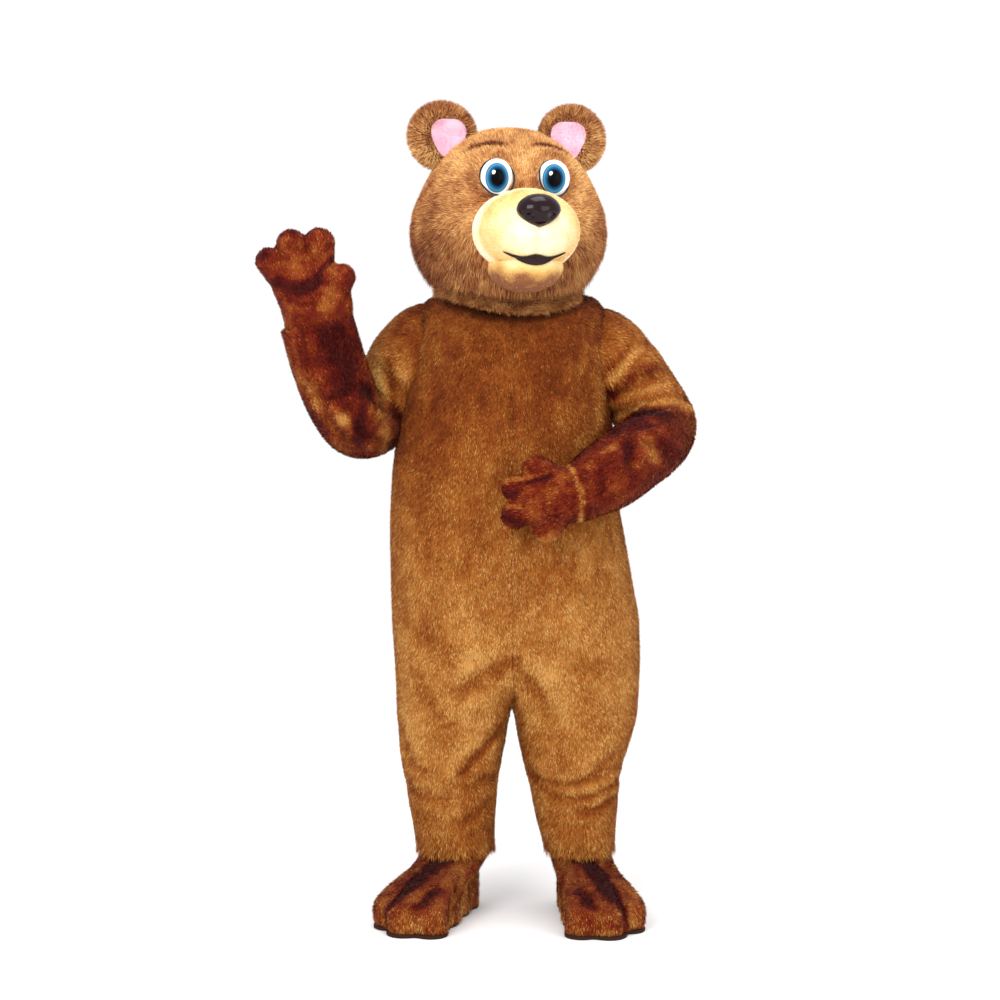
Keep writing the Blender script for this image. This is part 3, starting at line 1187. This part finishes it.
def foot_outline(side, angles, inset):
    """Points of the sole's edge, seen from above, with the toes ahead and soft clefts between them."""
    ray = np.stack([np.cos(angles), np.sin(angles)], axis=-1)
    reaches = []
    for x, y, radius in FOOT_LOBES:
        offset = np.array([-SIGNS[side] * x, y - FOOT_MIDDLE_Y])
        aside = offset[0] * ray[:, 1] - offset[1] * ray[:, 0]
        rim = radius - inset
        half = np.sqrt(np.maximum(rim**2 - aside**2, 0))
        reaches.append(np.where(np.abs(aside) < rim, ray @ offset + half, 0.0))
    soft = 0.009
    best = soft * np.log(np.exp(np.array(reaches) / soft).sum(axis=0))
    return ray * best[:, None] + np.array([0.0, FOOT_MIDDLE_Y])


def foot_to_world(side, local):
    """Points in a foot's own axes as points in the row frame."""
    x0, y0, turn = FOOT_PLACES[side]
    return turned(local, turn) + np.array([x0, y0, -FLOOR_DROP])


def shaft_radii(side):
    """Half the width and depth of a foot cover's shaft, which fits in the leg's hem."""
    half_width = (suit_measure(side + "_out", HEM_HEIGHT) - suit_measure(side + "_inner", HEM_HEIGHT)) / 2
    wide = float(half_width) - SHAFT_GAP - FOOT_PILE
    deep = float(suit_middle(HEM_HEIGHT)[1]) - SHAFT_GAP - FOOT_PILE
    return wide, min(deep, wide)


def foot_skin(side):
    """A foot cover's upper, from the sole's edge to the top of its shaft."""
    wide, deep = shaft_radii(side)
    angles = round_steps(FOOT_COLUMNS) - math.pi / 2
    shaft = np.stack([wide * np.cos(angles), deep * np.sin(angles)], axis=-1)
    sole = relaxed(foot_outline(side, angles, FOOT_PILE), 2)
    heights = np.concatenate([np.linspace(0.0083, 0.14, 44), np.linspace(0.146, 0.188, 6)])
    spread = smooth_between(FOOT_RINGS[:, 0], FOOT_RINGS[:, 1], heights)
    flat = shaft[None] + (sole - shaft)[None] * spread[:, None, None]
    flat[..., 1] += toe_clefts(side, heights, angles)
    z = np.broadcast_to(heights[:, None, None], (*flat.shape[:2], 1))
    local = dent_instep(side, np.concatenate([flat, z], axis=-1))
    facing = angles + FOOT_PLACES[side][2]
    spokes = np.stack([np.cos(facing), np.sin(facing), 0 * facing], axis=-1)
    skin = grid_skin(foot_to_world(side, local), np.broadcast_to(spokes, local.shape), around=True)
    skin["local"] = local.reshape(-1, 3)
    return skin


def toe_clefts(side, heights, angles):
    """How far the cloth is drawn in between the toes, most at half height."""
    move = 0.0
    for x, y in CLEFTS:
        middle = math.atan2(y - FOOT_MIDDLE_Y, -SIGNS[side] * x)
        move = move + 0.010 * bell(angles - middle, 0.080)[None] * bell(heights - 0.042, 0.034)[:, None]
    return move


def dent_instep(side, local):
    """Toe grooves and soft folds across the instep where the foot bends."""
    x, y, z = -SIGNS[side] * local[..., 0], local[..., 1], local[..., 2]
    push = np.zeros_like(x)
    for at, width, depth, bend in ((-0.085, 0.014, 0.004, 0.35), (-0.045, 0.012, 0.004, 0.2)):
        push = push + depth * bell(y - at - bend * x, width) * fade(z, 0.05, 0.08)
    for middle, _ in CLEFTS:
        push = push + 0.006 * bell(x - middle, 0.009) * fade(y, -0.175, -0.215) * fade(z, 0.03, 0.05)
    local[..., 2] = z - push * (z < 0.15)
    return local


def foot_tone(side, skin):
    """Rusty brown with a dark streak of laid nap from the ankle to the toes."""
    points = skin["points"]
    tone = 0.56 + 0.10 * cloud(points, 0.040, 61) + 0.15 * cloud(points, 0.015, 62)
    ragged = 0.40 * cloud(points, 0.018, 63) + 0.25 * cloud(points, 0.008, 64)
    flat = skin["local"][:, :2] * np.array([-SIGNS[side], 1.0])
    return tone + laid_nap(flat, ragged, FOOT_STROKES)


def on_the_foot(points):
    """True for roots between the sole and the leg's hem."""
    height = points[:, 2] + FLOOR_DROP
    return (height > 0.0095) & (height < 0.150)


def make_feet(looks):
    """Both foot covers with their coats, and their soles."""
    made = []
    for order, side in enumerate(SIGNS):
        skin = foot_skin(side)
        x, _, z = skin["local"].T
        droop = fade(z, 0.036, 0.016)
        nap = np.stack([0.3 * x, -0.12 * (1 - droop), -0.10 - 0.60 * droop], axis=1)
        skin["nap"] = unit(turned(nap, FOOT_PLACES[side][2]))
        skin["tone"] = foot_tone(side, skin)
        skin["gold"] = np.clip((skin["tone"] - 0.40) * 3.5, 0, 1)
        made.append(dress(f"foot_{side}", skin, looks["paw"], "foot", order,
                          (f"foot_upper_{side}",), FOOT_CLOTH, mask=on_the_foot, second=looks["golden"][1]))
        make_sole(side, looks)
    return made


def make_sole(side, looks):
    """The flat sole of a foot cover, drawn in a little under the fur."""
    angles = round_steps(FOOT_COLUMNS)
    local = np.array([
        np.column_stack([foot_outline(side, angles, inset), np.full(FOOT_COLUMNS, height)])
        for height, inset in SOLE_RINGS
    ])
    middle = np.array([0.0, FOOT_MIDDLE_Y])
    for end in (0, -1):
        local[end, :, :2] = middle + 0.2 * (local[end, :, :2] - middle)
    faces = grid_faces(*local.shape[:2], around=True)
    caps = cap_faces(*local.shape[:2])
    points = foot_to_world(side, local).reshape(-1, 3)
    sole = fill_mesh(f"foot_sole_{side}_sheet", points, np.concatenate([faces, caps]), [looks["sole"]])
    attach(sole, "root")
    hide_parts(f"foot_sole_{side}")


def cap_faces(rings, columns):
    """Quads that close the first and the last ring of a grid from side to side."""
    half = np.arange(columns // 2 - 1)
    far = (columns - 1 - half) % columns
    near = np.stack([half, half + 1, (far - 1) % columns, far], axis=-1)
    return np.concatenate([near[:, ::-1], near + (rings - 1) * columns])


# The head, in its own axes: its front faces -Y, and heights are from the floor.


def to_world(local):
    """Points in the head's own axes as points in the row frame."""
    return turned(local, HEAD_TURN) + HEAD_PLACE


def to_local(points):
    """The way back from to_world."""
    return turned(points - HEAD_PLACE, -HEAD_TURN)


def placed(skin):
    """A skin moved from the head's own axes to the row frame."""
    skin["points"] = to_world(skin["points"])
    skin["normals"] = turned(skin["normals"], HEAD_TURN)
    return skin


def head_nap(vectors):
    """Nap directions, given in the head's own axes."""
    return turned(unit(vectors), HEAD_TURN)


def moulded(name, skin, look, thickness=MOULDING, stands_for=None):
    """A bare thin-walled piece of the head."""
    made = weld(cloth(name, placed(skin), look, thickness))
    if stands_for:
        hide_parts(stands_for)
    return made


def head_measure(column, heights):
    """One measure of the head at some heights."""
    return smooth_between(HEAD_SECTIONS[:, 0], HEAD_SECTIONS[:, column], heights)


def head_surface(x, z):
    """Local y of the head's front fur at some x and height."""
    across = np.clip(np.abs(x) / head_measure(3, z), 0, 0.999)
    return -np.abs(head_measure(4, z)) * (1 - across**HEAD_ROUNDNESS) ** (1 / HEAD_ROUNDNESS)


def head_grid(face, heights, angles):
    """Local points of one half of the head from the neck opening to the crown."""
    drop_column, depth_column = {"front": (1, 4), "back": (2, 5)}[face]
    h = heights[:, None]
    top = np.minimum(h + 0.003, HEAD_SECTIONS[-1, 0])
    bottom = np.maximum(h - 0.003, HEAD_SECTIONS[0, 0])
    run = head_measure(3, bottom) - head_measure(3, top)
    at_crown = h >= HEAD_SECTIONS[-1, 0] - 1e-6
    lean = np.where(at_crown, math.pi / 2, np.arctan2(np.maximum(run, 0.0), top - bottom))
    wide = np.maximum(head_measure(3, h) - HEAD_PILE * np.cos(lean), 0.0004)
    deep = np.maximum(np.abs(head_measure(depth_column, h)) - HEAD_PILE * np.cos(lean), 0.0004)
    ahead = np.maximum(np.sin(angles), 0.0)[None] ** (2 / HEAD_ROUNDNESS)
    across = signed_power(np.cos(angles), 2 / HEAD_ROUNDNESS)[None]
    x = wide * across
    y = TURNS[face] * deep * ahead
    z = h - head_measure(drop_column, h) * ahead**2 - HEAD_PILE * np.sin(lean)
    outward = np.stack(np.broadcast_arrays(across, TURNS[face] * ahead, 0.3, x)[:3], axis=-1)
    return np.stack([x, y, z], axis=-1), outward


def in_ball(local, form, grow):
    """True where a local point is inside a grown ellipsoid."""
    centre, radii = form
    scaled = (local - np.array(centre)) / (np.array(radii) + grow)
    return (scaled**2).sum(axis=1) < 1


def eye_form(sign):
    """Centre and radii of an eye's dome."""
    return (sign * EYE_X, float(head_surface(EYE_X, EYE_Z)) + 0.004, EYE_Z), EYE_RADII


def ear_form(sign, inset=0.0):
    """Centre and radii of an ear."""
    return np.array([sign * EAR_X, EAR_Y, EAR_Z]), np.array(EAR_RADII) - inset


def bare_face(points):
    """True for roots of head fur that no eye, ear or muzzle covers."""
    local = to_local(points)
    covered = in_ball(local, MUZZLE, -0.004) | in_ball(local, JAW, -0.014)
    for sign in SIGNS.values():
        covered |= in_ball(local, eye_form(sign), 0.003)
        covered |= in_ball(local, ear_form(sign), -0.012)
    return ~covered


def head_tone(local):
    """Tan forehead and cheeks round the face, brown sides, mauve-brown below."""
    x, y, z = local.T
    tone = np.interp(
        z,
        (1.46, 1.50, 1.54, 1.60, 1.70, 1.78, 1.86),
        (0.34, 0.34, 0.38, 0.50, 0.58, 0.58, 0.50),
    )
    front = np.clip(-y / 0.2, 0, 1)
    tone = tone + 0.12 * front * bell(z - 1.77, 0.05) + 0.10 * front
    tone = tone + 0.16 * front * bell(x, 0.040) * bell(z - 1.735, 0.045)
    tone = tone - 0.18 * np.clip(np.abs(x) / 0.2 - 0.64, 0, 1) * 2
    from_brow = np.abs(x) - BROW_X
    brow = BROW_Z - 0.10 * from_brow - 5.0 * from_brow**2
    near_brow = bell(z - brow, 0.0036) * bell(from_brow, 0.040, 4)
    for sign in SIGNS.values():
        ring = np.hypot((x - sign * EYE_X) / 0.052, (z - EYE_Z) / 0.058)
        tone = tone - (0.30 * bell(ring - 0.95, 0.22) + 0.62 * near_brow) * (y < 0)
    return tone + 0.13 * cloud(local, 0.045, 71) + 0.17 * cloud(local, 0.016, 72)


def face_nap(local):
    """Fur that runs away from the nose, up over the brow and down the cheeks."""
    x, y, z = local.T
    away = unit(np.stack([x, 0.6 * (y + 0.25), z - 1.66], axis=1))
    down = np.array([0.0, 0.25, -1.0])
    share = np.maximum(fade(z, 1.64, 1.54), fade(y, 0.0, 0.12))[:, None]
    return head_nap(away * (1 - share) + down * share)


def make_head(looks):
    """The head's two fur halves."""
    heights = [np.linspace(*part) for part in ((1.484, 1.52, 8), (1.527, 1.80, 38), (1.806, 1.8565, 14))]
    heights = np.append(np.concatenate(heights), HEAD_SECTIONS[-1, 0])
    angles = np.linspace(0, math.pi, 51)
    made = []
    for order, face in enumerate(TURNS):
        skin = grid_skin(*head_grid(face, heights, angles))
        local = skin["points"]
        x, y, z = local.T
        skin["tone"] = head_tone(local)
        skin["nap"] = face_nap(local)
        near_face = bell(np.hypot(x / 0.15, (z - 1.66) / 0.13), 1.0, 4) * (y < 0)
        reach = np.interp(z, (1.45, 1.50, 1.56, 1.64, 1.75, 1.86), (2.3, 1.9, 1.2, 0.95, 0.7, 0.7))
        skin["reach"] = reach * (1 - 0.45 * near_face)
        made.append(dress(f"head_{face}", placed(skin), looks["head"], "head", order,
                          thickness=SHELL, mask=bare_face))
    return made


def make_ruff(looks):
    """The band of long fur that hides the neck."""
    rim_z, front_drop, back_drop, rim_wide, rim_front, rim_back = HEAD_SECTIONS[0]
    theta = round_steps(140)
    steps = np.linspace(0, 2, 15)
    values = [np.interp(steps, (0, 1, 2), column)[:, None] for column in RUFF_SECTIONS.T]
    side_fall, front_fall, back_fall, side_out, front_out, back_out = values
    across = signed_power(np.cos(theta), 2 / HEAD_ROUNDNESS)[None]
    ahead = signed_power(np.sin(theta), 2 / HEAD_ROUNDNESS)[None]
    front = ahead < 0
    deep = np.where(front, abs(rim_front) + front_out, rim_back + back_out) - RUFF_PILE
    end_fall = np.where(front, front_drop + front_fall, back_drop + back_fall)
    z = rim_z - side_fall - (end_fall - side_fall) * ahead**2
    grid = np.stack([(rim_wide + side_out - RUFF_PILE) * across, deep * ahead, z], axis=-1)
    skin = grid_skin(grid, np.stack([across + 0 * z, ahead + 0 * z, 0 * z], axis=-1), around=True)
    local = skin["points"]
    share = np.repeat(steps / 2, len(theta))
    skin["tone"] = 0.50 - 0.06 * share + 0.12 * cloud(local, 0.030, 75) + 0.16 * cloud(local, 0.012, 76)
    skin["nap"] = head_nap(local * np.array([0.6, 0.6, 0.0]) + np.array([0.0, 0.0, -0.55]))
    return [dress("neck_ruff", placed(skin), looks["head"], "ruff", thickness=SHELL)]


def dome(form, rings, segments, spread):
    """Local points of an ellipsoid round its front pole, spread in degrees from it."""
    centre, radii = form
    polar = np.radians(np.linspace(0, spread, rings))[:, None]
    around = round_steps(segments)[None]
    x = radii[0] * np.sin(polar) * np.cos(around)
    y = -radii[1] * np.cos(polar) + 0 * x
    z = radii[2] * np.sin(polar) * np.sin(around)
    return np.stack([x, y, z], axis=-1) + np.array(centre)


def dome_skin(grid, form):
    """A skin round an ellipsoid's centre."""
    return grid_skin(grid, grid - np.array(form[0]), around=True)


def dish_middle(sign):
    """Where the middle of an ear's dish lies, in x and height."""
    return sign * (EAR_X - 0.012), EAR_Z - 0.002


def dish_dent(sign, x, z):
    """How far an ear's front is dished."""
    dish_x, dish_z = dish_middle(sign)
    away = np.hypot((x - dish_x) / DISH_RADII[0], (z - dish_z) / DISH_RADII[1])
    return DISH_DEPTH * np.clip(1.25 - away**2, 0, 1.25)


def off_lining(sign):
    """A test for the ear's roots: off the lining and out of the head."""
    dish_x, dish_z = dish_middle(sign)

    def outside(points):
        x, y, z = to_local(points).T
        lined = (np.hypot((x - dish_x) / 0.036, (z - dish_z) / 0.041) < 1) & (y < EAR_Y)
        h = np.clip(z, HEAD_SECTIONS[0, 0], HEAD_SECTIONS[-1, 0])
        wide = np.maximum(head_measure(3, h), 0.001) - HEAD_PILE
        deep = np.maximum(np.where(y < 0, -head_measure(4, h), head_measure(5, h)), 0.001) - HEAD_PILE
        buried = np.abs(x / wide) ** HEAD_ROUNDNESS + np.abs(y / deep) ** HEAD_ROUNDNESS < 1
        return ~lined & ~(buried & (z < HEAD_SECTIONS[-1, 0]))

    return outside


def make_ears(looks):
    """Stuffed ears with a dished front; their pink linings are handed back."""
    linings = []
    for order, (side, sign) in enumerate(SIGNS.items()):
        form = ear_form(sign, EAR_PILE)
        centre = form[0]
        grid = dome(form, 38, 60, 180)
        grid[..., 1] += np.where(grid[..., 1] < EAR_Y, dish_dent(sign, grid[..., 0], grid[..., 2]), 0.0)
        skin = dome_skin(grid, form)
        local = skin["points"]
        skin["nap"] = head_nap((local - centre) * np.array([1, 0.3, 1]) + np.array([0, 0.01, 0]))
        inner = np.clip(1 - np.hypot(local[:, 0] - centre[0], local[:, 2] - centre[2]) / 0.08, 0, 1)
        low = np.clip((centre[2] - local[:, 2]) / 0.06, -0.6, 1)
        blotches = 0.16 * cloud(local, 0.026, 77) + 0.12 * cloud(local, 0.012, 78)
        skin["tone"] = 0.48 + 0.24 * inner + 0.12 * low + blotches
        placed(skin)
        ear = weld(fill_mesh(f"ear_{side}_cloth", skin["points"], skin["faces"], [looks["head"][0]]))
        ear.data.shade_smooth()
        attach(ear, "root")
        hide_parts(f"ear_{side}")
        fur = coat(f"ear_{side}_pile", skin, looks["head"][1], "ear", order, off_lining(sign))
        linings.append(make_lining(side, sign, order, looks))
    return linings


def make_lining(side, sign, order, looks):
    """The pink plush that lines an ear's dish."""
    centre, radii = ear_form(sign, EAR_PILE)
    dish_x, dish_z = dish_middle(sign)
    around = round_steps(60)[None]
    reach = (1 + 0.10 * np.cos(3 * around - math.pi / 2)) * np.linspace(0, 1, 20)[:, None]
    x = dish_x + LINING_RADII[0] * reach * np.cos(around)
    z = dish_z + LINING_RADII[1] * reach * np.sin(around)
    flat = ((x - centre[0]) / radii[0]) ** 2 + ((z - centre[2]) / radii[2]) ** 2
    y = centre[1] - radii[1] * np.sqrt(np.maximum(1 - flat, 0)) + dish_dent(sign, x, z) - 0.0035
    grid = np.stack([x, y, z], axis=-1)
    skin = grid_skin(grid, np.broadcast_to((0.0, -1.0, 0.0), grid.shape), around=True)
    local = skin["points"]
    skin["tone"] = 0.62 + 0.3 * cloud(local, 0.02, 79)
    skin["nap"] = head_nap((local - np.array([dish_x, 0, dish_z])) * np.array([1, 0, 1]) + 1e-4)
    return dress(f"ear_lining_{side}", placed(skin), looks["pink"], "lining", order,
                 welded=True)


def make_eyes(looks):
    """Domed eyes, each in a thin dark seat."""
    for side, sign in SIGNS.items():
        form = eye_form(sign)
        grid = dome(form, 32, 52, 115)
        centre = np.array(form[0])
        gaze_x, gaze_z = centre[0] - 0.0035, centre[2] - 0.002
        across, up = grid[..., 0] - gaze_x, grid[..., 2] - gaze_z
        away = np.hypot(across / (0.90 * EYE_RADII[0]), up / EYE_RADII[2])
        skin = dome_skin(grid, form)
        skin["tone"] = np.where(grid[..., 1] > centre[1], 1.0, np.clip(away, 0, 1)).ravel()
        moulded(f"eye_{side}_dome", skin, looks["eye"], stands_for=f"eye_{side}")
        make_glint(side, grid, (gaze_x - 0.008, gaze_z + 0.010), looks)
        make_seat(side, form, looks)


def make_glint(side, grid, place, looks):
    """A small white dot painted on the pupil."""
    points = grid.reshape(-1, 3)
    front = points[points[:, 1] < np.median(points[:, 1])]
    nearest = front[np.argmin(np.hypot(front[:, 0] - place[0], front[:, 2] - place[1]))]
    dot = dome((nearest + np.array([0.0, 0.0006, 0.0]), GLINT_RADII), 8, 24, 90)
    skin = grid_skin(dot, dot - dot.mean(axis=(0, 1)) - np.array([0.0, 0.01, 0.0]), around=True)
    moulded(f"eye_{side}_glint", skin, looks["white"], 0.0004)


def make_seat(side, form, looks):
    """A thin cord round an eye, where the dome meets the fur."""
    centre, radii = np.array(form[0]), np.array(form[1])
    around = round_steps(72)
    rows = []
    for turn in round_steps(10):
        out = SEAT_CORD * math.cos(turn) - 0.0002
        x = centre[0] + (radii[0] + out) * np.cos(around)
        z = centre[2] + (radii[2] + out) * np.sin(around)
        y = head_surface(x, z) - 0.004 + SEAT_CORD * math.sin(turn)
        rows.append(np.stack([x, y, z], axis=-1))
    seat = np.array(rows)
    ring = placed(grid_skin(seat, seat - seat.mean(axis=1, keepdims=True), around=True))
    faces = np.concatenate([ring["faces"], wrap_faces(*seat.shape[:2])])
    rim = fill_mesh(f"eye_{side}_seat", ring["points"], faces, [looks["seat"]])
    rim.data.shade_smooth()
    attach(rim, "root")


def wrap_faces(rows, columns):
    """Quads that join a grid's last ring to its first."""
    c = np.arange(columns)
    d = (c + 1) % columns
    last = (rows - 1) * columns
    return np.stack([last + c, last + d, d, c], axis=-1)


def form_front(form, x, z):
    """Local y of an ellipsoid's front at some x and height, or NaN past its edge."""
    centre, radii = form
    left = 1 - ((x - centre[0]) / radii[0]) ** 2 - ((z - centre[2]) / radii[2]) ** 2
    return np.where(left > 0, centre[1] - radii[1] * np.sqrt(np.maximum(left, 0)), np.nan)


def muzzle_dents(x, y, z):
    """How far the snout is drawn in at its cleft, and pushed out at its cheeks."""
    cleft = 0.006 * bell(x, 0.006) * fade(z, 1.628, 1.608)
    cheeks = 0.009 * bell(np.abs(x) - 0.055, 0.036) * bell(z - 1.585, 0.036)
    return (cleft - cheeks) * fade(y, -0.20, -0.28)


def make_muzzle(looks):
    """The fleece snout and chin."""
    grid = dome(MUZZLE, 70, 110, 128)
    grid[..., 1] += muzzle_dents(grid[..., 0], grid[..., 1], grid[..., 2])
    snout = dome_skin(grid, MUZZLE)
    x, _, z = snout["points"].T
    snout["tone"] = muzzle_tone(snout["points"])
    snout["nap"] = head_nap(np.stack([x, 0 * x + 0.03, z - 1.62], axis=1))
    made = [fleece("muzzle", snout, looks)]
    chin = dome_skin(dome(JAW, 46, 90, 128), JAW)
    x = chin["points"][:, 0]
    chin["tone"] = jaw_tone(chin["points"])
    chin["nap"] = head_nap(np.stack([x, 0 * x + 0.03, 0 * x - 0.08], axis=1))
    made.append(fleece("chin", chin, looks))
    return made


def muzzle_tone(local):
    """Cream snout with a golden shade towards its root and a pale rolled rim."""
    x, y, z = local.T
    tone = np.interp(
        -y,
        (0.10, 0.195, 0.210, 0.226, 0.245, 0.272, 0.295, 0.32),
        (0.66, 0.94, 0.80, 0.42, 0.42, 0.60, 0.76, 0.82),
    )
    tone = tone - 0.16 * bell(x, 0.060) * fade(z, 1.640, 1.670) * (tone > 0.5)
    return tone - 0.20 * fade(z, 1.545, 1.515) + 0.08 * cloud(local, 0.03, 92)


def jaw_tone(local):
    """Cream lower lip, shaded golden brown towards its underside and corners."""
    x, _, z = local.T
    tone = np.interp(z, (1.466, 1.482, 1.498, 1.512, 1.528), (0.00, 0.06, 0.20, 0.42, 0.62))
    return tone - 0.22 * fade(np.abs(x), 0.045, 0.085) + 0.08 * cloud(local, 0.025, 91)


def ahead_of_face(points):
    """True for roots on the front part of the snout and chin."""
    return to_local(points)[:, 1] < -0.10


def fleece(name, skin, looks):
    """A moulded form under very short fleece."""
    placed(skin)
    skin["points"] = skin["points"] - FLEECE_PILE * skin["normals"]
    return dress(name, skin, looks["cream"], name, thickness=SHELL, welded=True,
                 mask=ahead_of_face)


def make_mouth(looks):
    """A dark see-through mesh between the lips: a bent slit that opens under the cleft."""
    across = np.linspace(-1, 1, 81)[None]
    down = np.linspace(0, 1, 9)[:, None]
    middle = MOUTH_Z + MOUTH_BEND * across**2
    above = 0.0012 + 0.009 * bell(across, 0.30) + 0.003 * (1 - across**2)
    below = 0.0012 + 0.008 * np.clip(1 - (across / 0.62) ** 2, 0, 1)
    pinch = np.sqrt(np.maximum(1 - across**6, 0.0))
    z = middle + (above - (above + below) * down) * pinch
    x = MOUTH_HALF * across + 0 * z
    snout, jaw = form_front(MUZZLE, x, z), form_front(JAW, x, z)
    y = np.fmin(snout + muzzle_dents(x, snout, z), jaw) - 0.0035
    grid = np.stack([x, y, z], axis=-1)
    skin = grid_skin(grid, np.broadcast_to((0.0, -1.0, 0.0), grid.shape))
    return moulded("mouth_mesh", skin, looks["mouth"], CLOTH, "mouth")


def make_nose(looks):
    """A glossy moulded nose, broad above and pointed below, with two nostrils."""
    grid = dome(NOSE, 46, 76, 140)
    (_, middle_y, middle_z), (_, _, tall) = NOSE
    z = grid[..., 2] - middle_z
    grid[..., 0] *= 1.0 - 0.30 * np.clip(-z / tall, 0, 1) ** 1.2
    for sign in SIGNS.values():
        hole = bell(grid[..., 0] - sign * NOSTRIL_X, 0.010) * bell(z + NOSTRIL_DROP, 0.007)
        grid[..., 1] += 0.010 * hole * (grid[..., 1] < middle_y)
    moulded("nose_moulding", dome_skin(grid, NOSE), looks["nose"], stands_for="nose")


# The zip, the nodes that keep their shape, and what every cloth is cut from.


def make_zip_teeth(looks):
    """Two rows of meshing teeth up the zip tape, each tooth a small block."""
    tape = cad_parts["zip_tape"]
    points = np.array([tape.matrix_world @ v.co for v in tape.data.vertices])
    ordered = np.sort(points[:, 2])
    levels = np.linspace(ordered[0] + TEETH_MARGIN, ordered[-1] - TEETH_MARGIN, TEETH)
    outer = [points[np.abs(points[:, 2] - z) < 0.03, 1].max() for z in ordered]
    depth = np.interp(levels, ordered, outer)
    corners = np.array([(x, y, z) for x in (-1, 1) for y in (-1, 1) for z in (-1, 1)], float)
    sides = np.array([(0, 1, 3, 2), (4, 6, 7, 5), (0, 4, 5, 1), (2, 3, 7, 6), (0, 2, 6, 4), (1, 5, 7, 3)])
    blocks = [
        corners * TOOTH_HALF + np.array([TOOTH_SHIFT if k % 2 else -TOOTH_SHIFT, y + 0.0006, z])
        for k, (y, z) in enumerate(zip(depth, levels))
    ]
    faces = np.concatenate([sides + 8 * k for k in range(len(blocks))])
    teeth = fill_mesh("zip_teeth", np.concatenate(blocks), faces, [looks["metal"]])
    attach(teeth, "root")
    return teeth


def declare_cloth(made):
    """Declare each piece of cloth with its coat: its own area, cut from a blank of the given ratio."""
    for cover, fur in made:
        shape = bmesh.new()
        shape.from_mesh(cover.data)
        area = sum(face.calc_area() for face in shape.faces) / 2
        shape.free()


def dress_nodes(looks):
    """Materials for the nodes that keep their own shape."""
    for name, look in (("zip_tape", "tape"), ("zip_slider", "metal")):
        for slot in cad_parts[name].material_slots:
            slot.material = looks[look]


# The room.


def make_floor():
    """A pale floor that sweeps up behind."""
    pale, _, _, shader = new_material("floor_pale", 0.95, 0.0)
    shader.inputs["Base Color"].default_value = (0.95, 0.95, 0.95, 1.0)
    sweep = [(6 + 3 * math.sin(t), 3 - 3 * math.cos(t)) for t in np.linspace(0, math.pi / 2, 14)]
    profile = [(-9.0, 0.0), *sweep, (9.0, 11.0)]
    grid = np.array([[(x, y, z - FLOOR_DROP) for x in np.linspace(-14, 14, 3)] for y, z in profile])
    floor = fill_mesh("floor", grid.reshape(-1, 3), grid_faces(*grid.shape[:2])[:, ::-1], [pale])
    floor.data.shade_smooth()


def make_room():
    """The floor, soft lights and the camera."""
    scene = bpy.context.scene
    make_floor()
    world = bpy.data.worlds.new("studio")
    world.use_nodes = True
    world.node_tree.nodes["Background"].inputs["Color"].default_value = (1.0, 1.0, 1.0, 1.0)
    world.node_tree.nodes["Background"].inputs["Strength"].default_value = 1.0
    scene.world = world
    for name, place, aim, power, size in LAMPS:
        lamp = bpy.data.lights.new(name, "AREA")
        lamp.energy = power
        lamp.size = size
        item = bpy.data.objects.new(name, lamp)
        item.location = place
        item.rotation_euler = (Vector(aim) - Vector(place)).to_track_quat("-Z", "Y").to_euler()
        scene.collection.objects.link(item)
    lens = bpy.data.cameras.new("view")
    lens.lens = LENS
    lens.sensor_width = SENSOR
    camera = bpy.data.objects.new("view", lens)
    camera.location = CAMERA_PLACE
    camera.rotation_euler = (CAMERA_PITCH, 0.0, 0.0)
    scene.collection.objects.link(camera)
    scene.camera = camera
    scene.view_settings.view_transform = "Standard"


LOOKS = make_looks()
make_room()
declare_cloth(make_suit(LOOKS))
declare_cloth(make_sleeves(LOOKS))
declare_cloth(make_mitts(LOOKS))
declare_cloth(make_feet(LOOKS))
declare_cloth(make_head(LOOKS))
declare_cloth(make_ruff(LOOKS))
declare_cloth(make_ears(LOOKS))
make_eyes(LOOKS)
declare_cloth(make_muzzle(LOOKS))
make_nose(LOOKS)
declare_cloth([(make_mouth(LOOKS), None)])
dress_nodes(LOOKS)
declare_cloth([(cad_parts["zip_tape"], make_zip_teeth(LOOKS))])
